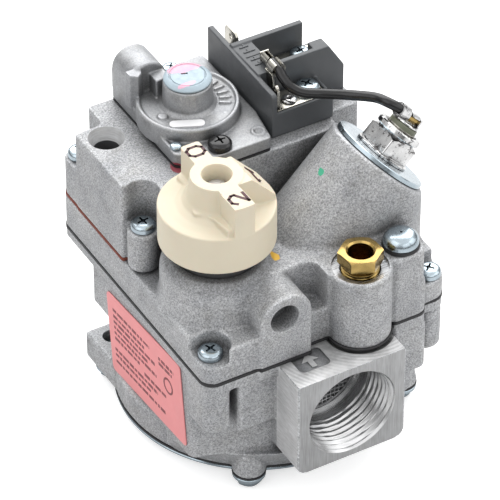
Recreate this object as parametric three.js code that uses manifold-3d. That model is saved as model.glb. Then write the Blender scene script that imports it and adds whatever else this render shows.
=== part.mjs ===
// Combination gas valve for a standing-pilot appliance, built as an assembly of separate pieces.
// Millimetres. Layout frame: z = 0 is the joint between the two main castings, the gas inlet faces -Y and
// the rating label faces -X. The finished group is shifted so its origin is the centre of its footprint.
import * as THREE from "three";
import { mergeVertices } from "three/addons/utils/BufferGeometryUtils.js";
import Module from "manifold-3d";

// ---------------------------------------------------------------- driving dimensions
const CLEAR = 0.3; // gap between neighbouring pieces
const LEFT = -37.7; // left side shared by both castings
const RIGHT = 35.2;
const FRONT = -43.2;
const REAR = 35;
const LIP = 3; // flange thickness of the lower casting
const FLANGE_TOP = 10.9; // top of the upper casting's flange
const DECK_TOP = 22; // top of the upper casting's front deck
const BLOCK_BOTTOM = 12.1; // underside of the regulator casting
const BLOCK_TOP = 36;
const COVER_BOTTOM = 36.8; // underside of the regulator cover
const COVER_TOP = 40.5;
const SHELL_BOTTOM = -40; // underside of the lower casting
const PORT_X = -0.7; // gas bore axis
const PORT_Z = -15.2;
const PORT_R = 12.1; // minor radius of the 3/4 in pipe thread
const PORT_MOUTH_R = 13.1;
const INLET_FACE = -54.3;
const OUTLET_FACE = 48.3;
const SEAT = new THREE.Vector2(0, -3); // main valve axis
const COCK = new THREE.Vector2(-22, -21.3); // knob and cock axis
const REGULATOR = new THREE.Vector2(-9.9, 15.2);
const PILOT = new THREE.Vector2(8.2, -42.2); // pilot tube nut axis
const PLUG = new THREE.Vector2(21.5, -40.4); // pilot adjustment axis
const OPERATOR = new THREE.Vector2(10, 20); // electric operator axis, inside the regulator casting
const MAGNET_RIM = new THREE.Vector3(26.6, -20.1, 34.7); // centre of the sloping boss's rim
const MAGNET_R = 14.5;
const LEVER_PIVOT = new THREE.Vector2(-5.5, 15.8); // x and z of the reset lever's pin
const LEVER_Y = -20.8; // middle plane of the reset lever
const COVER_SCREW_CIRCLE = 39.2; // radius of the four bottom cover screws about the main valve axis
const COVER_SCREW_ANGLES = [144.1, 237.4, 324.1, 57.4];
const RIM_R = 38.5; // rim that the bottom cover closes
const LEDGE_R = 43.5; // wider shoulder above the rim, on the inlet side
const LEDGE_Z = -31.5;
const SCREW_HOLE_R = 2;
const SHANK_R = 1.6;
const LEAD_R = 1.25;

const wasm = await Module();
wasm.setup();

// ---------------------------------------------------------------- modelling helpers
// A closed three.js geometry as a solid; its shared corners are merged and its faces turned outward.
function solid(geometry) {
  const bare = geometry.clone();
  bare.deleteAttribute("normal");
  bare.deleteAttribute("uv");
  const merged = mergeVertices(bare, 1e-3);
  const index = merged.index.array;
  const kept = [];
  for (let i = 0; i < index.length; i += 3) {
    const [a, b, c] = [index[i], index[i + 1], index[i + 2]];
    if (a !== b && b !== c && a !== c) kept.push(a, b, c);
  }
  const build = (triangles) =>
    new wasm.Manifold(
      new wasm.Mesh({
        numProp: 3,
        vertProperties: merged.attributes.position.array,
        triVerts: new Uint32Array(triangles),
      }),
    );
  const made = build(kept);
  return made.volume() < 0 ? build(kept.reverse()) : made;
}

const asSolid = (shape) => (shape.isBufferGeometry ? solid(shape) : shape);
const join = (...shapes) => shapes.map(asSolid).reduce((a, b) => a.add(b));
const carve = (base, ...tools) => tools.map(asSolid).reduce((a, b) => a.subtract(b), asSolid(base));
const facets = (r) => Math.max(10, 4 * Math.round(Math.sqrt(r) * 1.6));

// Upright round bar, or cone when two radii are given.
function bar(r, z0, z1, x = 0, y = 0, topR = r, count = facets(r)) {
  const g = new THREE.CylinderGeometry(topR, r, z1 - z0, count);
  g.rotateX(Math.PI / 2);
  return g.translate(x, y, (z0 + z1) / 2);
}

// Round bar along Y.
function barY(r, y0, y1, x, z, farR = r) {
  const g = new THREE.CylinderGeometry(farR, r, y1 - y0, facets(r));
  return g.translate(x, (y0 + y1) / 2, z);
}

function box(x0, x1, y0, y1, z0, z1) {
  const g = new THREE.BoxGeometry(x1 - x0, y1 - y0, z1 - z0);
  return g.translate((x0 + x1) / 2, (y0 + y1) / 2, (z0 + z1) / 2);
}

// Closed outline from corners [x, y, rounding].
function outline(corners) {
  const shape = new THREE.Shape();
  corners.forEach(([x, y, rounding = 0], i) => {
    const corner = new THREE.Vector2(x, y);
    const toward = (other) =>
      new THREE.Vector2(other[0], other[1]).sub(corner).setLength(rounding).add(corner);
    const start = rounding ? toward(corners.at(i - 1)) : corner;
    if (i) shape.lineTo(start.x, start.y);
    else shape.moveTo(start.x, start.y);
    if (!rounding) return;
    const end = toward(corners[(i + 1) % corners.length]);
    shape.quadraticCurveTo(x, y, end.x, end.y);
  });
  return shape;
}

// Upright prism on an outline.
function prism(corners, z0, z1) {
  const options = { depth: z1 - z0, bevelEnabled: false, curveSegments: 4 };
  return new THREE.ExtrudeGeometry(outline(corners), options).translate(0, 0, z0);
}

// Prism along Y on an outline given as [x, z, rounding].
function prismY(corners, y0, y1) {
  const options = { depth: y1 - y0, bevelEnabled: false, curveSegments: 4 };
  const g = new THREE.ExtrudeGeometry(outline(corners), options);
  return g.rotateX(Math.PI / 2).translate(0, y1, 0);
}

// Upright turned piece from a closed profile [radius, z].
function turned(profile, x = 0, y = 0, count = 24) {
  const points = [...profile, profile[0]].map(([r, z]) => new THREE.Vector2(r, z));
  return new THREE.LatheGeometry(points, count).rotateX(Math.PI / 2).translate(x, y, 0);
}

// Upright hexagonal bar, sized across its flats.
function hexBar(flats, z0, z1, x = 0, y = 0) {
  return bar(flats / Math.sqrt(3), z0, z1, x, y, flats / Math.sqrt(3), 6);
}

class Helix extends THREE.Curve {
  constructor(r, z0, z1, turns, x, y) {
    super();
    Object.assign(this, { r, z0, z1, turns, x, y });
  }
  getPoint(t, target = new THREE.Vector3()) {
    const angle = t * this.turns * 2 * Math.PI;
    const z = this.z0 + (this.z1 - this.z0) * t;
    return target.set(this.x + this.r * Math.cos(angle), this.y + this.r * Math.sin(angle), z);
  }
}

// Round wire swept along a curve.
function wireAlong(curve, wireR, steps, halfSides) {
  const section = new THREE.Shape().absarc(0, 0, wireR, 0, 2 * Math.PI);
  const options = { steps, bevelEnabled: false, curveSegments: halfSides, extrudePath: curve };
  return new THREE.ExtrudeGeometry(section, options);
}

// Compression spring standing between z0 and z1.
function coil(r, wireR, z0, z1, turns, x, y) {
  const curve = new Helix(r, z0 + wireR, z1 - wireR, turns, x, y);
  return wireAlong(curve, wireR, Math.round(turns * 10), 3);
}

// Frame of the sloping boss: its local Z runs up and to the right at 45 degrees, out of the rim.
const slope = new THREE.Matrix4().makeRotationY(Math.PI / 4).setPosition(MAGNET_RIM);
const sloped = (geometry) => geometry.applyMatrix4(slope);

const assembly = new THREE.Group();
assembly.name = "gas_valve";

// Adds one finished piece to the assembly under its own name and with its own material.
function piece(name, shape, material) {
  const made = asSolid(shape).getMesh();
  const g = new THREE.BufferGeometry();
  g.setAttribute("position", new THREE.BufferAttribute(new Float32Array(made.vertProperties), 3));
  g.setIndex(new THREE.BufferAttribute(new Uint32Array(made.triVerts), 1));
  g.computeVertexNormals();
  const mesh = new THREE.Mesh(g, material);
  mesh.name = name;
  assembly.add(mesh);
}

// ---------------------------------------------------------------- materials
const standard = (color, roughness, metalness) =>
  new THREE.MeshStandardMaterial({ color, roughness, metalness });
const castAluminium = () => standard(0x9da0a3, 0.5, 0.85);
const zincSteel = () => standard(0xb9c4cc, 0.3, 0.95);
const plainSteel = () => standard(0x8d9093, 0.35, 0.95);
const nickel = () => standard(0xc9c8c0, 0.22, 1);
const brass = () => standard(0xb98a35, 0.3, 1);
const ivoryPlastic = () => standard(0xeadcb4, 0.55, 0);
const blackPlastic = () => standard(0x35373a, 0.5, 0);
const blackRubber = () => standard(0x17181a, 0.75, 0);
const fibre = () => standard(0x5c3830, 0.85, 0);

// ---------------------------------------------------------------- shared outlines and screw places
const BODY_SCREWS = [
  { x: -33.3, y: -37.5, seat: 6, tip: -11 },
  { x: -33.6, y: -3.1, seat: 23.7, tip: -11 },
  { x: -33.5, y: 31.5, seat: 23.7, tip: -2.4 },
  { x: 31.2, y: -39, seat: 7, tip: -11 },
  { x: 30.5, y: 31, seat: 23.7, tip: -2.4 },
];
const COVER_SCREWS = COVER_SCREW_ANGLES.map((degrees) => {
  const angle = THREE.MathUtils.degToRad(degrees);
  return {
    x: SEAT.x + COVER_SCREW_CIRCLE * Math.cos(angle),
    y: SEAT.y + COVER_SCREW_CIRCLE * Math.sin(angle),
  };
});
const REGULATOR_SCREWS = [
  { x: -10.2, y: -2.2, r: 3.2 },
  { x: -20.2, y: 3.2, r: 1.6 },
  { x: -5.5, y: 32.3, r: 2.4 },
];

// The parting outline of the two main castings, drawn in by the given amount.
function seam(inset = 0) {
  const left = LEFT + inset;
  const right = RIGHT - inset;
  const front = FRONT + inset;
  return [
    [left, REAR - inset, 3],
    [left, front, 4.5],
    [-22.3, front, 0],
    [-22, front - 0.8, 0.4],
    [-7, front - 0.8, 0.4],
    [-6.6, front + 2, 0],
    [16.6, front + 2, 0],
    [16.8, front - 2.2, 1],
    [27 - inset, front - 2.2, 3],
    [27.6, front + 0.8, 0],
    [right, front + 0.8, 4],
    [right, REAR - inset, 3],
  ];
}

const BLOCK_OUTLINE = [
  [-29.2, REAR, 1],
  [-29.2, 26.9, 0],
  [LEFT, 26.3, 0.5],
  [LEFT, 1.1, 0.5],
  [-32.4, 0.3, 1.5],
  [-30, -2.8, 1],
  [-30, -5.2, 0.5],
  [24, -5.2, 0.5],
  [24, 1.2, 0.5],
  [34, 1.2, 1],
  [34, REAR, 2],
];

const COVER_OUTLINE = [
  [-22, REAR - 0.4, 0.8],
  [-22, 1, 1.5],
  [-15, -5.3, 2],
  [3.3, -5.3, 1],
  [5.4, 6, 1],
  [5.4, REAR - 0.4, 1],
];

const bodyScrewHoles = (z0, z1) => BODY_SCREWS.map(({ x, y }) => bar(SCREW_HOLE_R, z0, z1, x, y));

// ---------------------------------------------------------------- lower casting
function portBlock(y0, y1) {
  const side = [
    [-17.1, -30.3, 2.5],
    [15.3, -30.3, 2.5],
    [15.3, 0, 0.6],
    [-17.1, 0, 0.6],
  ];
  return prismY(side, y0, y1);
}

function lowerCasting() {
  const walls = [
    [-37, 11.5, 0.5],
    [-37, -33.4, 2.4],
    [-32.6, -34.6, 1],
    [-17, -41, 0],
    [15.3, -41, 0],
    [27.8, -38, 1],
    [33, -30, 4],
    [33, 22, 4],
    [24, 30, 2],
    [-17, 33, 0],
    [-27, 27, 2],
    [-30, 11.5, 0],
  ];
  const cornerRib = [
    [-37.5, FRONT, 4],
    [-29.9, FRONT, 1],
    [-29.9, -32, 0],
    [-37.5, -32, 0],
  ];
  const innerRib = [
    [-29.2, FRONT, 1],
    [-16.5, FRONT, 0],
    [-16.5, -32, 0],
    [-29.2, -32, 0],
  ];
  const ears = COVER_SCREWS.map(({ x, y }) => bar(4.6, SHELL_BOTTOM, LEDGE_Z, x, y));
  const shoulder = solid(bar(RIM_R, SHELL_BOTTOM, LEDGE_Z, SEAT.x, SEAT.y, LEDGE_R));
  const inletSide = solid(box(-37, 33, -60, -20, SHELL_BOTTOM - 1, LEDGE_Z + 1));
  const body = join(
    prism(seam(), -LIP, 0),
    prism(walls, LEDGE_Z - 0.1, -LIP + 0.1),
    box(-37, -29, 11, 20, -16.5, -LIP + 0.1),
    bar(RIM_R, SHELL_BOTTOM, LEDGE_Z, SEAT.x, SEAT.y),
    shoulder.intersect(inletSide),
    box(-37, -25, -3, 25.4, SHELL_BOTTOM, LEDGE_Z),
    ...ears,
    portBlock(INLET_FACE, -38),
    portBlock(30, OUTLET_FACE),
    prism(cornerRib, -16.5, -LIP + 0.1),
    prism(innerRib, -19, -LIP + 0.1),
    box(16.8, 27.6, -45.3, -37, -19, -LIP + 0.1),
    bar(3.9, -17, -LIP + 0.1, 31.1, -38.4),
  );
  return carve(
    body,
    barY(PORT_R, INLET_FACE - 1, -27, PORT_X, PORT_Z),
    barY(PORT_MOUTH_R, INLET_FACE - 0.1, INLET_FACE + 1.6, PORT_X, PORT_Z, PORT_R),
    barY(PORT_R, -8, OUTLET_FACE + 1, PORT_X, PORT_Z),
    barY(PORT_R, OUTLET_FACE - 1.6, OUTLET_FACE + 0.1, PORT_X, PORT_Z, PORT_MOUTH_R),
    bar(5, -8, 1, 1, -32.5),
    bar(8, -6, 1, SEAT.x, SEAT.y),
    bar(2.3, -34, -20, SEAT.x, SEAT.y),
    bar(31, SHELL_BOTTOM - 1, -33, SEAT.x, SEAT.y),
    box(-27.5, -1, LEVER_Y - 2.6, LEVER_Y + 2.6, -7, 1),
    ...bodyScrewHoles(-13, 1),
    ...COVER_SCREWS.map(({ x, y }) => bar(SCREW_HOLE_R, SHELL_BOTTOM - 1, -33, x, y)),
  );
}
piece("lower_body", lowerCasting(), castAluminium());

// ---------------------------------------------------------------- gasket between the castings
const bodyGasket = carve(
  join(prism(seam(-0.3), 0.15, 0.85), bar(8.7, 0.15, 0.85, PILOT.x, PILOT.y)),
  bar(14.3, -1, 2, SEAT.x, SEAT.y),
  bar(5.3, -1, 2, 1, -32.5),
  box(-27.8, 5.3, LEVER_Y - 2.9, LEVER_Y + 2.9, -1, 2),
  bar(9, -1, 2, COCK.x, COCK.y),
  ...bodyScrewHoles(-1, 2),
);
piece("body_gasket", bodyGasket, blackRubber());

// ---------------------------------------------------------------- upper casting
function frontBoss() {
  const arch = [
    [-22, 1],
    [-7, 1],
    [-7, 21.7, 7],
    [-22, 21.7, 7],
  ];
  return prismY(arch, FRONT - 0.8, -34);
}

// Sloping round boss for the magnet, with an upright skirt under its rim.
function magnetBoss() {
  const skirt = new THREE.CylinderGeometry(MAGNET_R, MAGNET_R, 50, facets(MAGNET_R));
  skirt.rotateX(Math.PI / 2).scale(Math.SQRT1_2, 1, 1);
  skirt.translate(MAGNET_RIM.x, MAGNET_RIM.y, 26);
  const beyondRim = sloped(box(-30, 30, -30, 30, 0, 40));
  return join(carve(skirt, beyondRim), sloped(bar(MAGNET_R, -34, 0)));
}

function upperCasting() {
  const deck = [
    [-14, -34, 0],
    [-1, -34, 1],
    [-1, -42, 1],
    [27, -42, 1],
    [27, -6, 1],
    [-14, -6, 1],
  ];
  const body = join(
    prism(seam(), 1, FLANGE_TOP),
    prism(deck, FLANGE_TOP - 1, DECK_TOP),
    bar(15, FLANGE_TOP - 1, DECK_TOP - 1, COCK.x, COCK.y),
    bar(15, DECK_TOP - 1, 24.3, COCK.x, COCK.y, 12.6),
    frontBoss(),
    bar(8.4, 1, DECK_TOP, PILOT.x, PILOT.y),
    box(16.8, 27, FRONT - 2.1, -36, 1, DECK_TOP - 0.2),
    magnetBoss(),
  );
  const belowCasting = box(-60, 60, -60, 60, -60, 1);
  const cockToSeat = new THREE.Vector2().subVectors(SEAT, COCK);
  const gasPassage = barY(2.6, 8, 19, 0, 5.2);
  gasPassage.rotateZ(Math.atan2(cockToSeat.y, cockToSeat.x) - Math.PI / 2);
  gasPassage.translate(COCK.x, COCK.y, 0);
  return carve(
    body,
    belowCasting,
    bar(14, 0, 9.4, SEAT.x, SEAT.y),
    box(-8, 5, LEVER_Y - 2.6, LEVER_Y + 2.6, 0, 18.5),
    box(-27.5, 5, LEVER_Y - 2.6, LEVER_Y + 2.6, 0, 3.3),
    barY(1.3, LEVER_Y - 4.4, LEVER_Y + 4.4, LEVER_PIVOT.x, LEVER_PIVOT.y),
    bar(8.4, 0, 22.3, COCK.x, COCK.y, 9.9),
    bar(11.3, 22.2, 25, COCK.x, COCK.y),
    gasPassage,
    sloped(bar(10.3, -26, 1)),
    sloped(bar(6, -38, -25)),
    box(-3, 20, -35.6, -27.5, 0, 16.5),
    bar(5.3, 11, DECK_TOP + 1, PILOT.x, PILOT.y),
    bar(1.2, 4, 12, PILOT.x, PILOT.y),
    bar(2.7, 8, DECK_TOP + 1, PLUG.x, PLUG.y),
    barY(4.1, FRONT - 2, FRONT + 4.5, -15.1, 15.2),
    bar(4.7, 6, 30, -33.3, -38.4),
    box(-40, -33.3, -44.5, -33.7, 6, FLANGE_TOP + 1),
    box(27.4, 40, -46, -35, 7, FLANGE_TOP + 1),
    ...bodyScrewHoles(0, FLANGE_TOP + 1),
  );
}
piece("upper_body", upperCasting(), castAluminium());

// ---------------------------------------------------------------- regulator casting and its gasket
const S2 = BODY_SCREWS[1];
const S3 = BODY_SCREWS[2];
const blockGasket = carve(
  join(
    prism(BLOCK_OUTLINE, 11.1, 11.9),
    bar(4.4, 11.1, 11.9, S2.x, S2.y),
    box(-37.4, -29, 26, 34.8, 11.1, 11.9),
  ),
  bar(9.7, 10, 13, OPERATOR.x, OPERATOR.y),
  ...bodyScrewHoles(10, 13),
);
piece("block_gasket", blockGasket, fibre());

function regulatorCasting() {
  const body = join(
    prism(BLOCK_OUTLINE, BLOCK_BOTTOM, BLOCK_TOP),
    bar(4.1, BLOCK_BOTTOM, S2.seat, S2.x, S2.y),
    box(-37.4, -29, 26, 34.8, BLOCK_BOTTOM, S3.seat),
  );
  return carve(
    body,
    bar(9, 30, BLOCK_TOP + 1, REGULATOR.x, REGULATOR.y),
    bar(1.5, BLOCK_BOTTOM - 1, 31, REGULATOR.x, REGULATOR.y + 5),
    bar(9.7, BLOCK_BOTTOM - 1, 30.3, OPERATOR.x, OPERATOR.y),
    bar(4.85, 33.5, BLOCK_TOP + 1, -31.2, 20.7),
    bar(3.5, 24, BLOCK_TOP, -31.2, 20.7),
    box(26.4, 36, 26.9, 36, 23.7, BLOCK_TOP + 1),
    bar(4.2, S2.seat, BLOCK_TOP + 1, S2.x, S2.y),
    ...REGULATOR_SCREWS.map(({ x, y, r }) => bar(r * 0.6, 29, BLOCK_TOP + 1, x, y)),
    ...bodyScrewHoles(BLOCK_BOTTOM - 1, 24.5),
  );
}
piece("regulator_block", regulatorCasting(), castAluminium());

const regulatorScrewHoles = (z0, z1) =>
  REGULATOR_SCREWS.map(({ x, y, r }) => bar(r * 0.6, z0, z1, x, y));
const regulatorDiaphragm = carve(
  prism(COVER_OUTLINE, 36.2, 36.6),
  bar(8.3, 35, 38, REGULATOR.x, REGULATOR.y),
  ...regulatorScrewHoles(35, 38),
);
piece("regulator_diaphragm", regulatorDiaphragm, blackRubber());

// ---------------------------------------------------------------- regulator cover with its vent
function regulatorCover() {
  const { x, y } = REGULATOR;
  const plate = join(
    prism(COVER_OUTLINE, COVER_BOTTOM, COVER_TOP),
    bar(13.6, COVER_BOTTOM, 44.3, x, y),
    bar(6.5, 43, 50.6, x, y),
    barY(5.5, 24.8, 34.6, -16.5, 46.5),
    box(-22, -11, 24.8, 34.6, COVER_TOP - 0.5, 46.5),
    box(-14, -9.5, 24.8, 31, COVER_TOP - 0.5, 46),
  );
  const groove = turned(
    [
      [7.6, 43.1],
      [11.8, 43.1],
      [11.8, 45],
      [7.6, 45],
    ],
    x,
    y,
  );
  return carve(
    plate,
    groove,
    bar(9, 36, 41.4, x, y),
    bar(4.6, 41, 51, x, y),
    barY(2.2, 26, 36, -16.5, 46.5),
    bar(1.2, 41, 46, -16.5, 28),
    ...regulatorScrewHoles(36, COVER_TOP + 1),
  );
}
piece("regulator_cover", regulatorCover(), castAluminium());

// ---------------------------------------------------------------- pressure regulator parts
function regulatorParts() {
  const { x, y } = REGULATOR;
  const slot = box(x - 7, x + 7, y - 0.6, y + 0.6, 51.6, 53);
  const cap = carve(join(bar(6.4, 51, 52.6, x, y), bar(4.2, 49.4, 51.1, x, y)), slot);
  piece("regulator_cap", cap, zincSteel());
  const driverSlot = box(x - 5, x + 5, y - 0.5, y + 0.5, 48.2, 50);
  piece("regulator_adjuster", carve(bar(4.3, 46.2, 49, x, y), driverSlot), brass());
  piece("regulator_spring", coil(3.4, 0.4, 38.7, 45.8, 5, x, y), plainSteel());
  const plate = join(bar(8, 37.3, 38.3, x, y), bar(1.6, 35.4, 37.4, x, y));
  piece("regulator_plate", plate, plainSteel());
}
regulatorParts();

// ---------------------------------------------------------------- main diaphragm and bottom cover
const earDiscs = (r, z0, z1) => COVER_SCREWS.map(({ x, y }) => bar(r, z0, z1, x, y));
const coverScrewHoles = (z0, z1) => earDiscs(SCREW_HOLE_R, z0, z1);
const mainDiaphragm = carve(
  join(bar(RIM_R + 0.1, -40.6, -40.15, SEAT.x, SEAT.y), ...earDiscs(4.6, -40.6, -40.15)),
  bar(12.4, -42, -39, SEAT.x, SEAT.y),
  ...coverScrewHoles(-42, -39),
);
piece("main_diaphragm", mainDiaphragm, blackRubber());

function bottomCover() {
  const pan = turned(
    [
      [0, -43.6],
      [28.5, -43.6],
      [30.5, -41.8],
      [RIM_R, -41.8],
      [RIM_R, -40.75],
      [29.9, -40.75],
      [27.9, -42.5],
      [0, -42.5],
    ],
    SEAT.x,
    SEAT.y,
    40,
  );
  return carve(join(pan, ...earDiscs(4.5, -41.8, -40.75)), ...coverScrewHoles(-44, -40));
}
piece("bottom_cover", bottomCover(), zincSteel());

COVER_SCREWS.forEach(({ x, y }, i) => {
  const flange = bar(3.8, -42.6, -42.1, x, y);
  const screw = join(hexBar(6, -43.9, -42.5, x, y), flange, bar(SHANK_R, -42.3, -34, x, y));
  piece("cover_screw_" + (i + 1), screw, zincSteel());
});

// ---------------------------------------------------------------- body screws, pan heads with cross slots
function panScrew(x, y, seat, tip, headR, shankR) {
  const height = headR * 0.7;
  const top = seat + CLEAR + height;
  const profile = [
    [0, top],
    [headR * 0.45, top - height * 0.12],
    [headR * 0.85, top - height * 0.45],
    [headR, seat + CLEAR],
    [0, seat + CLEAR],
  ];
  const head = turned(profile, x, y, 16);
  const shank = bar(shankR, tip, seat + CLEAR + 0.1, x, y);
  const arm = headR * 0.5;
  const slotA = box(x - arm, x + arm, y - 0.4, y + 0.4, top - 1.1, top + 1);
  const slotB = box(x - 0.4, x + 0.4, y - arm, y + arm, top - 1.1, top + 1);
  return carve(join(head, shank), slotA, slotB);
}
BODY_SCREWS.forEach(({ x, y, seat, tip }, i) => {
  piece("body_screw_" + (i + 1), panScrew(x, y, seat, tip, 3.2, SHANK_R), zincSteel());
});
REGULATOR_SCREWS.forEach(({ x, y, r }, i) => {
  const finish = i === 0 ? blackPlastic() : zincSteel();
  piece("regulator_screw_" + (i + 1), panScrew(x, y, COVER_TOP, 32, r, r * 0.6 - 0.3), finish);
});

// ---------------------------------------------------------------- main valve
function mainValveParts() {
  const { x, y } = SEAT;
  piece("main_valve", join(bar(10, 0.4, 2.6, x, y), bar(2, -36, 0.5, x, y)), plainSteel());
  piece("main_spring", coil(6.5, 0.45, 2.9, 9.1, 2.5, x, y), plainSteel());
  const plate = join(bar(20, -37.5, -36.3, x, y), bar(12, -41.9, -37.4, x, y));
  piece("diaphragm_plate", plate, plainSteel());
}
mainValveParts();

// ---------------------------------------------------------------- gas cock
function cockParts() {
  const { x, y } = COCK;
  const taper = turned(
    [
      [0, 3],
      [8.2, 3],
      [9.55, 22],
      [0, 22],
    ],
    x,
    y,
    32,
  );
  const plug = carve(
    taper,
    bar(5.5, 2, 10.8, x, y),
    bar(6, 12.3, 23, x, y),
    box(x - 2.1, x + 2.1, y - 2.1, y + 2.1, 10, 13),
    barY(2.6, y - 10, y, x, 5.2),
  );
  piece("cock_plug", plug, brass());
  const stem = join(
    bar(1.5, 1.3, 6, x, y),
    box(x - 1.8, x + 1.8, y - 1.8, y + 1.8, 5.9, 17),
    bar(5.4, 21.3, 22.2, x, y),
    bar(2.4, 16.9, 46, x, y),
  );
  piece("cock_stem", stem, plainSteel());
  piece("cock_spring", coil(4.3, 0.45, 12.6, 21, 3.5, x, y), plainSteel());
  const bonnet = carve(bar(11, 22.6, 26.4, x, y), bar(2.7, 22, 27, x, y));
  piece("cock_bonnet", bonnet, plainSteel());
}
cockParts();

// Knob: a round skirt under a hub, with a narrow wing each side and a wedge sloping to the pilot mark.
const KNOB_R = 15.3;
const KNOB_TOP = 49.5;
const SKIRT_TOP = 40.3;
function knob() {
  const { x, y } = COCK;
  const skirt = turned(
    [
      [0, 29],
      [KNOB_R, 29],
      [KNOB_R, SKIRT_TOP - 0.6],
      [KNOB_R - 0.6, SKIRT_TOP],
      [0, SKIRT_TOP],
    ],
    x,
    y,
    48,
  );
  const wings = [
    [x - 2.7, y + 14.1, 0.6],
    [x - 3.1, y - 14.7, 0.4],
    [x + 2.5, y - 14.9, 0.4],
    [x + 2.6, y + 14.1, 0.6],
  ];
  const wedge = [
    [x - 2, 38],
    [x - 2, KNOB_TOP - 0.4],
    [x + 6.6, KNOB_TOP - 0.4],
    [x + 14.6, SKIRT_TOP],
    [x + 14.6, 38],
  ];
  const wedgeSolid = solid(prismY(wedge, y - 5.2, y + 4.8));
  const body = join(
    skirt,
    prism(wings, 38, KNOB_TOP),
    wedgeSolid.intersect(solid(bar(KNOB_R - 0.2, 37, 50, x, y, KNOB_R - 0.2, 48))),
    bar(6.85, 38, KNOB_TOP, x, y),
  );
  return carve(
    body,
    bar(13.3, 28, 37.6, x, y),
    bar(2.7, 37, 46.2, x, y),
    bar(3.75, 46.9, 51, x, y),
  );
}
piece("knob", knob(), ivoryPlastic());

// ---------------------------------------------------------------- reset lever, a bell crank on a pin
function resetLever() {
  const { x, y: z } = LEVER_PIVOT;
  const y0 = LEVER_Y - 0.9;
  const y1 = LEVER_Y + 0.9;
  const foot = box(-24.5, x + 0.8, y0, y1, -0.6, 1);
  const leg = box(x - 0.8, x + 0.8, y0, y1, -0.6, z);
  const finger = new THREE.BoxGeometry(11, y1 - y0, 2.2);
  finger.translate(5.5, 0, -1.4).rotateY(Math.PI / 4).translate(x, LEVER_Y, z);
  const eye = barY(2.4, y0, y1, x, z);
  return carve(join(foot, leg, finger, eye), barY(1.3, y0 - 1, y1 + 1, x, z));
}
piece("reset_lever", resetLever(), plainSteel());
const leverPin = barY(1, LEVER_Y - 4.1, LEVER_Y + 4.1, LEVER_PIVOT.x, LEVER_PIVOT.y);
piece("lever_pin", leverPin, plainSteel());

// ---------------------------------------------------------------- flame safety magnet and its valve
function magnetParts() {
  const plate = carve(sloped(bar(13.6, 0.3, 1.2)), sloped(bar(5.6, -1, 3)));
  piece("magnet_plate", plate, zincSteel());
  const nutHalf = 5.15;
  const nut = carve(
    join(
      sloped(bar(7.5, 1.5, 2.7)),
      sloped(box(-nutHalf, nutHalf, -nutHalf, nutHalf, 2.6, 7.3)),
      sloped(bar(6.4, 7.2, 9.6)),
    ),
    sloped(bar(4.5, 0, 12)),
  );
  piece("power_unit_nut", nut, nickel());
  const barrel = join(
    sloped(bar(9.6, -9.4, -0.2)),
    sloped(bar(4.2, -0.3, 10.2)),
    sloped(bar(2, 10.1, 13.5)),
  );
  piece("magnet_body", barrel, nickel());
  const washer = carve(sloped(bar(4.7, 10.5, 11.5)), sloped(bar(2.3, 10, 13)));
  piece("insulator_washer", washer, fibre());
  const valve = join(
    sloped(bar(8.6, -25.6, -23.4)),
    sloped(bar(1.2, -35.7, -25.4)),
    sloped(bar(1.5, -23.5, -13.8)),
    sloped(bar(5, -14, -12.4)),
  );
  piece("safety_valve", valve, plainSteel());
  piece("safety_spring", sloped(coil(7, 0.4, -23, -13, 3.5, 0, 0)), plainSteel());
}
magnetParts();

// ---------------------------------------------------------------- pilot tube nut and pilot adjustment
function pilotParts() {
  const { x, y } = PILOT;
  const nut = carve(
    join(bar(5, 12.5, 24, x, y), hexBar(11.6, 23.4, 27, x, y)),
    bar(3.35, 15, 28, x, y),
    bar(1.2, 12, 16, x, y),
  );
  piece("pilot_nut", nut, brass());
  const washer = carve(bar(4.9, 22, 22.9, PLUG.x, PLUG.y), bar(2.7, 21, 24, PLUG.x, PLUG.y));
  piece("plug_washer", washer, blackRubber());
  const head = turned(
    [
      [0, 26.4],
      [2, 26.2],
      [3.6, 25.2],
      [4.6, 23.5],
      [4.7, 23.2],
      [0, 23.2],
    ],
    PLUG.x,
    PLUG.y,
  );
  const arm = (a, b) => box(PLUG.x - a, PLUG.x + a, PLUG.y - b, PLUG.y + b, 25.2, 28);
  const plug = carve(join(head, bar(2.4, 16.5, 23.3, PLUG.x, PLUG.y)), arm(2.2, 0.5), arm(0.5, 2.2));
  piece("pilot_plug", plug, zincSteel());
  const slot = box(PLUG.x - 3, PLUG.x + 3, PLUG.y - 0.4, PLUG.y + 0.4, 15.4, 17);
  piece("pilot_adjuster", carve(bar(2.4, 9, 16.2, PLUG.x, PLUG.y), slot), brass());
}
pilotParts();

// ---------------------------------------------------------------- electric operator in the regulator casting
function operatorParts() {
  const { x, y } = OPERATOR;
  const bobbin = turned(
    [
      [0, 29.9],
      [8.4, 29.9],
      [8.4, 28.6],
      [7.4, 28.6],
      [7.4, 19.6],
      [8.4, 19.6],
      [8.4, 18.4],
      [2.6, 18.4],
      [2.6, 16.8],
      [0, 16.8],
    ],
    x,
    y,
    24,
  );
  piece("operator_coil", bobbin, standard(0x7a3a22, 0.5, 0.6));
  piece("operator_flapper", box(x - 7, x + 6.6, y - 3.6, y + 3.6, 14.4, 15.4), plainSteel());
}
operatorParts();

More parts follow.
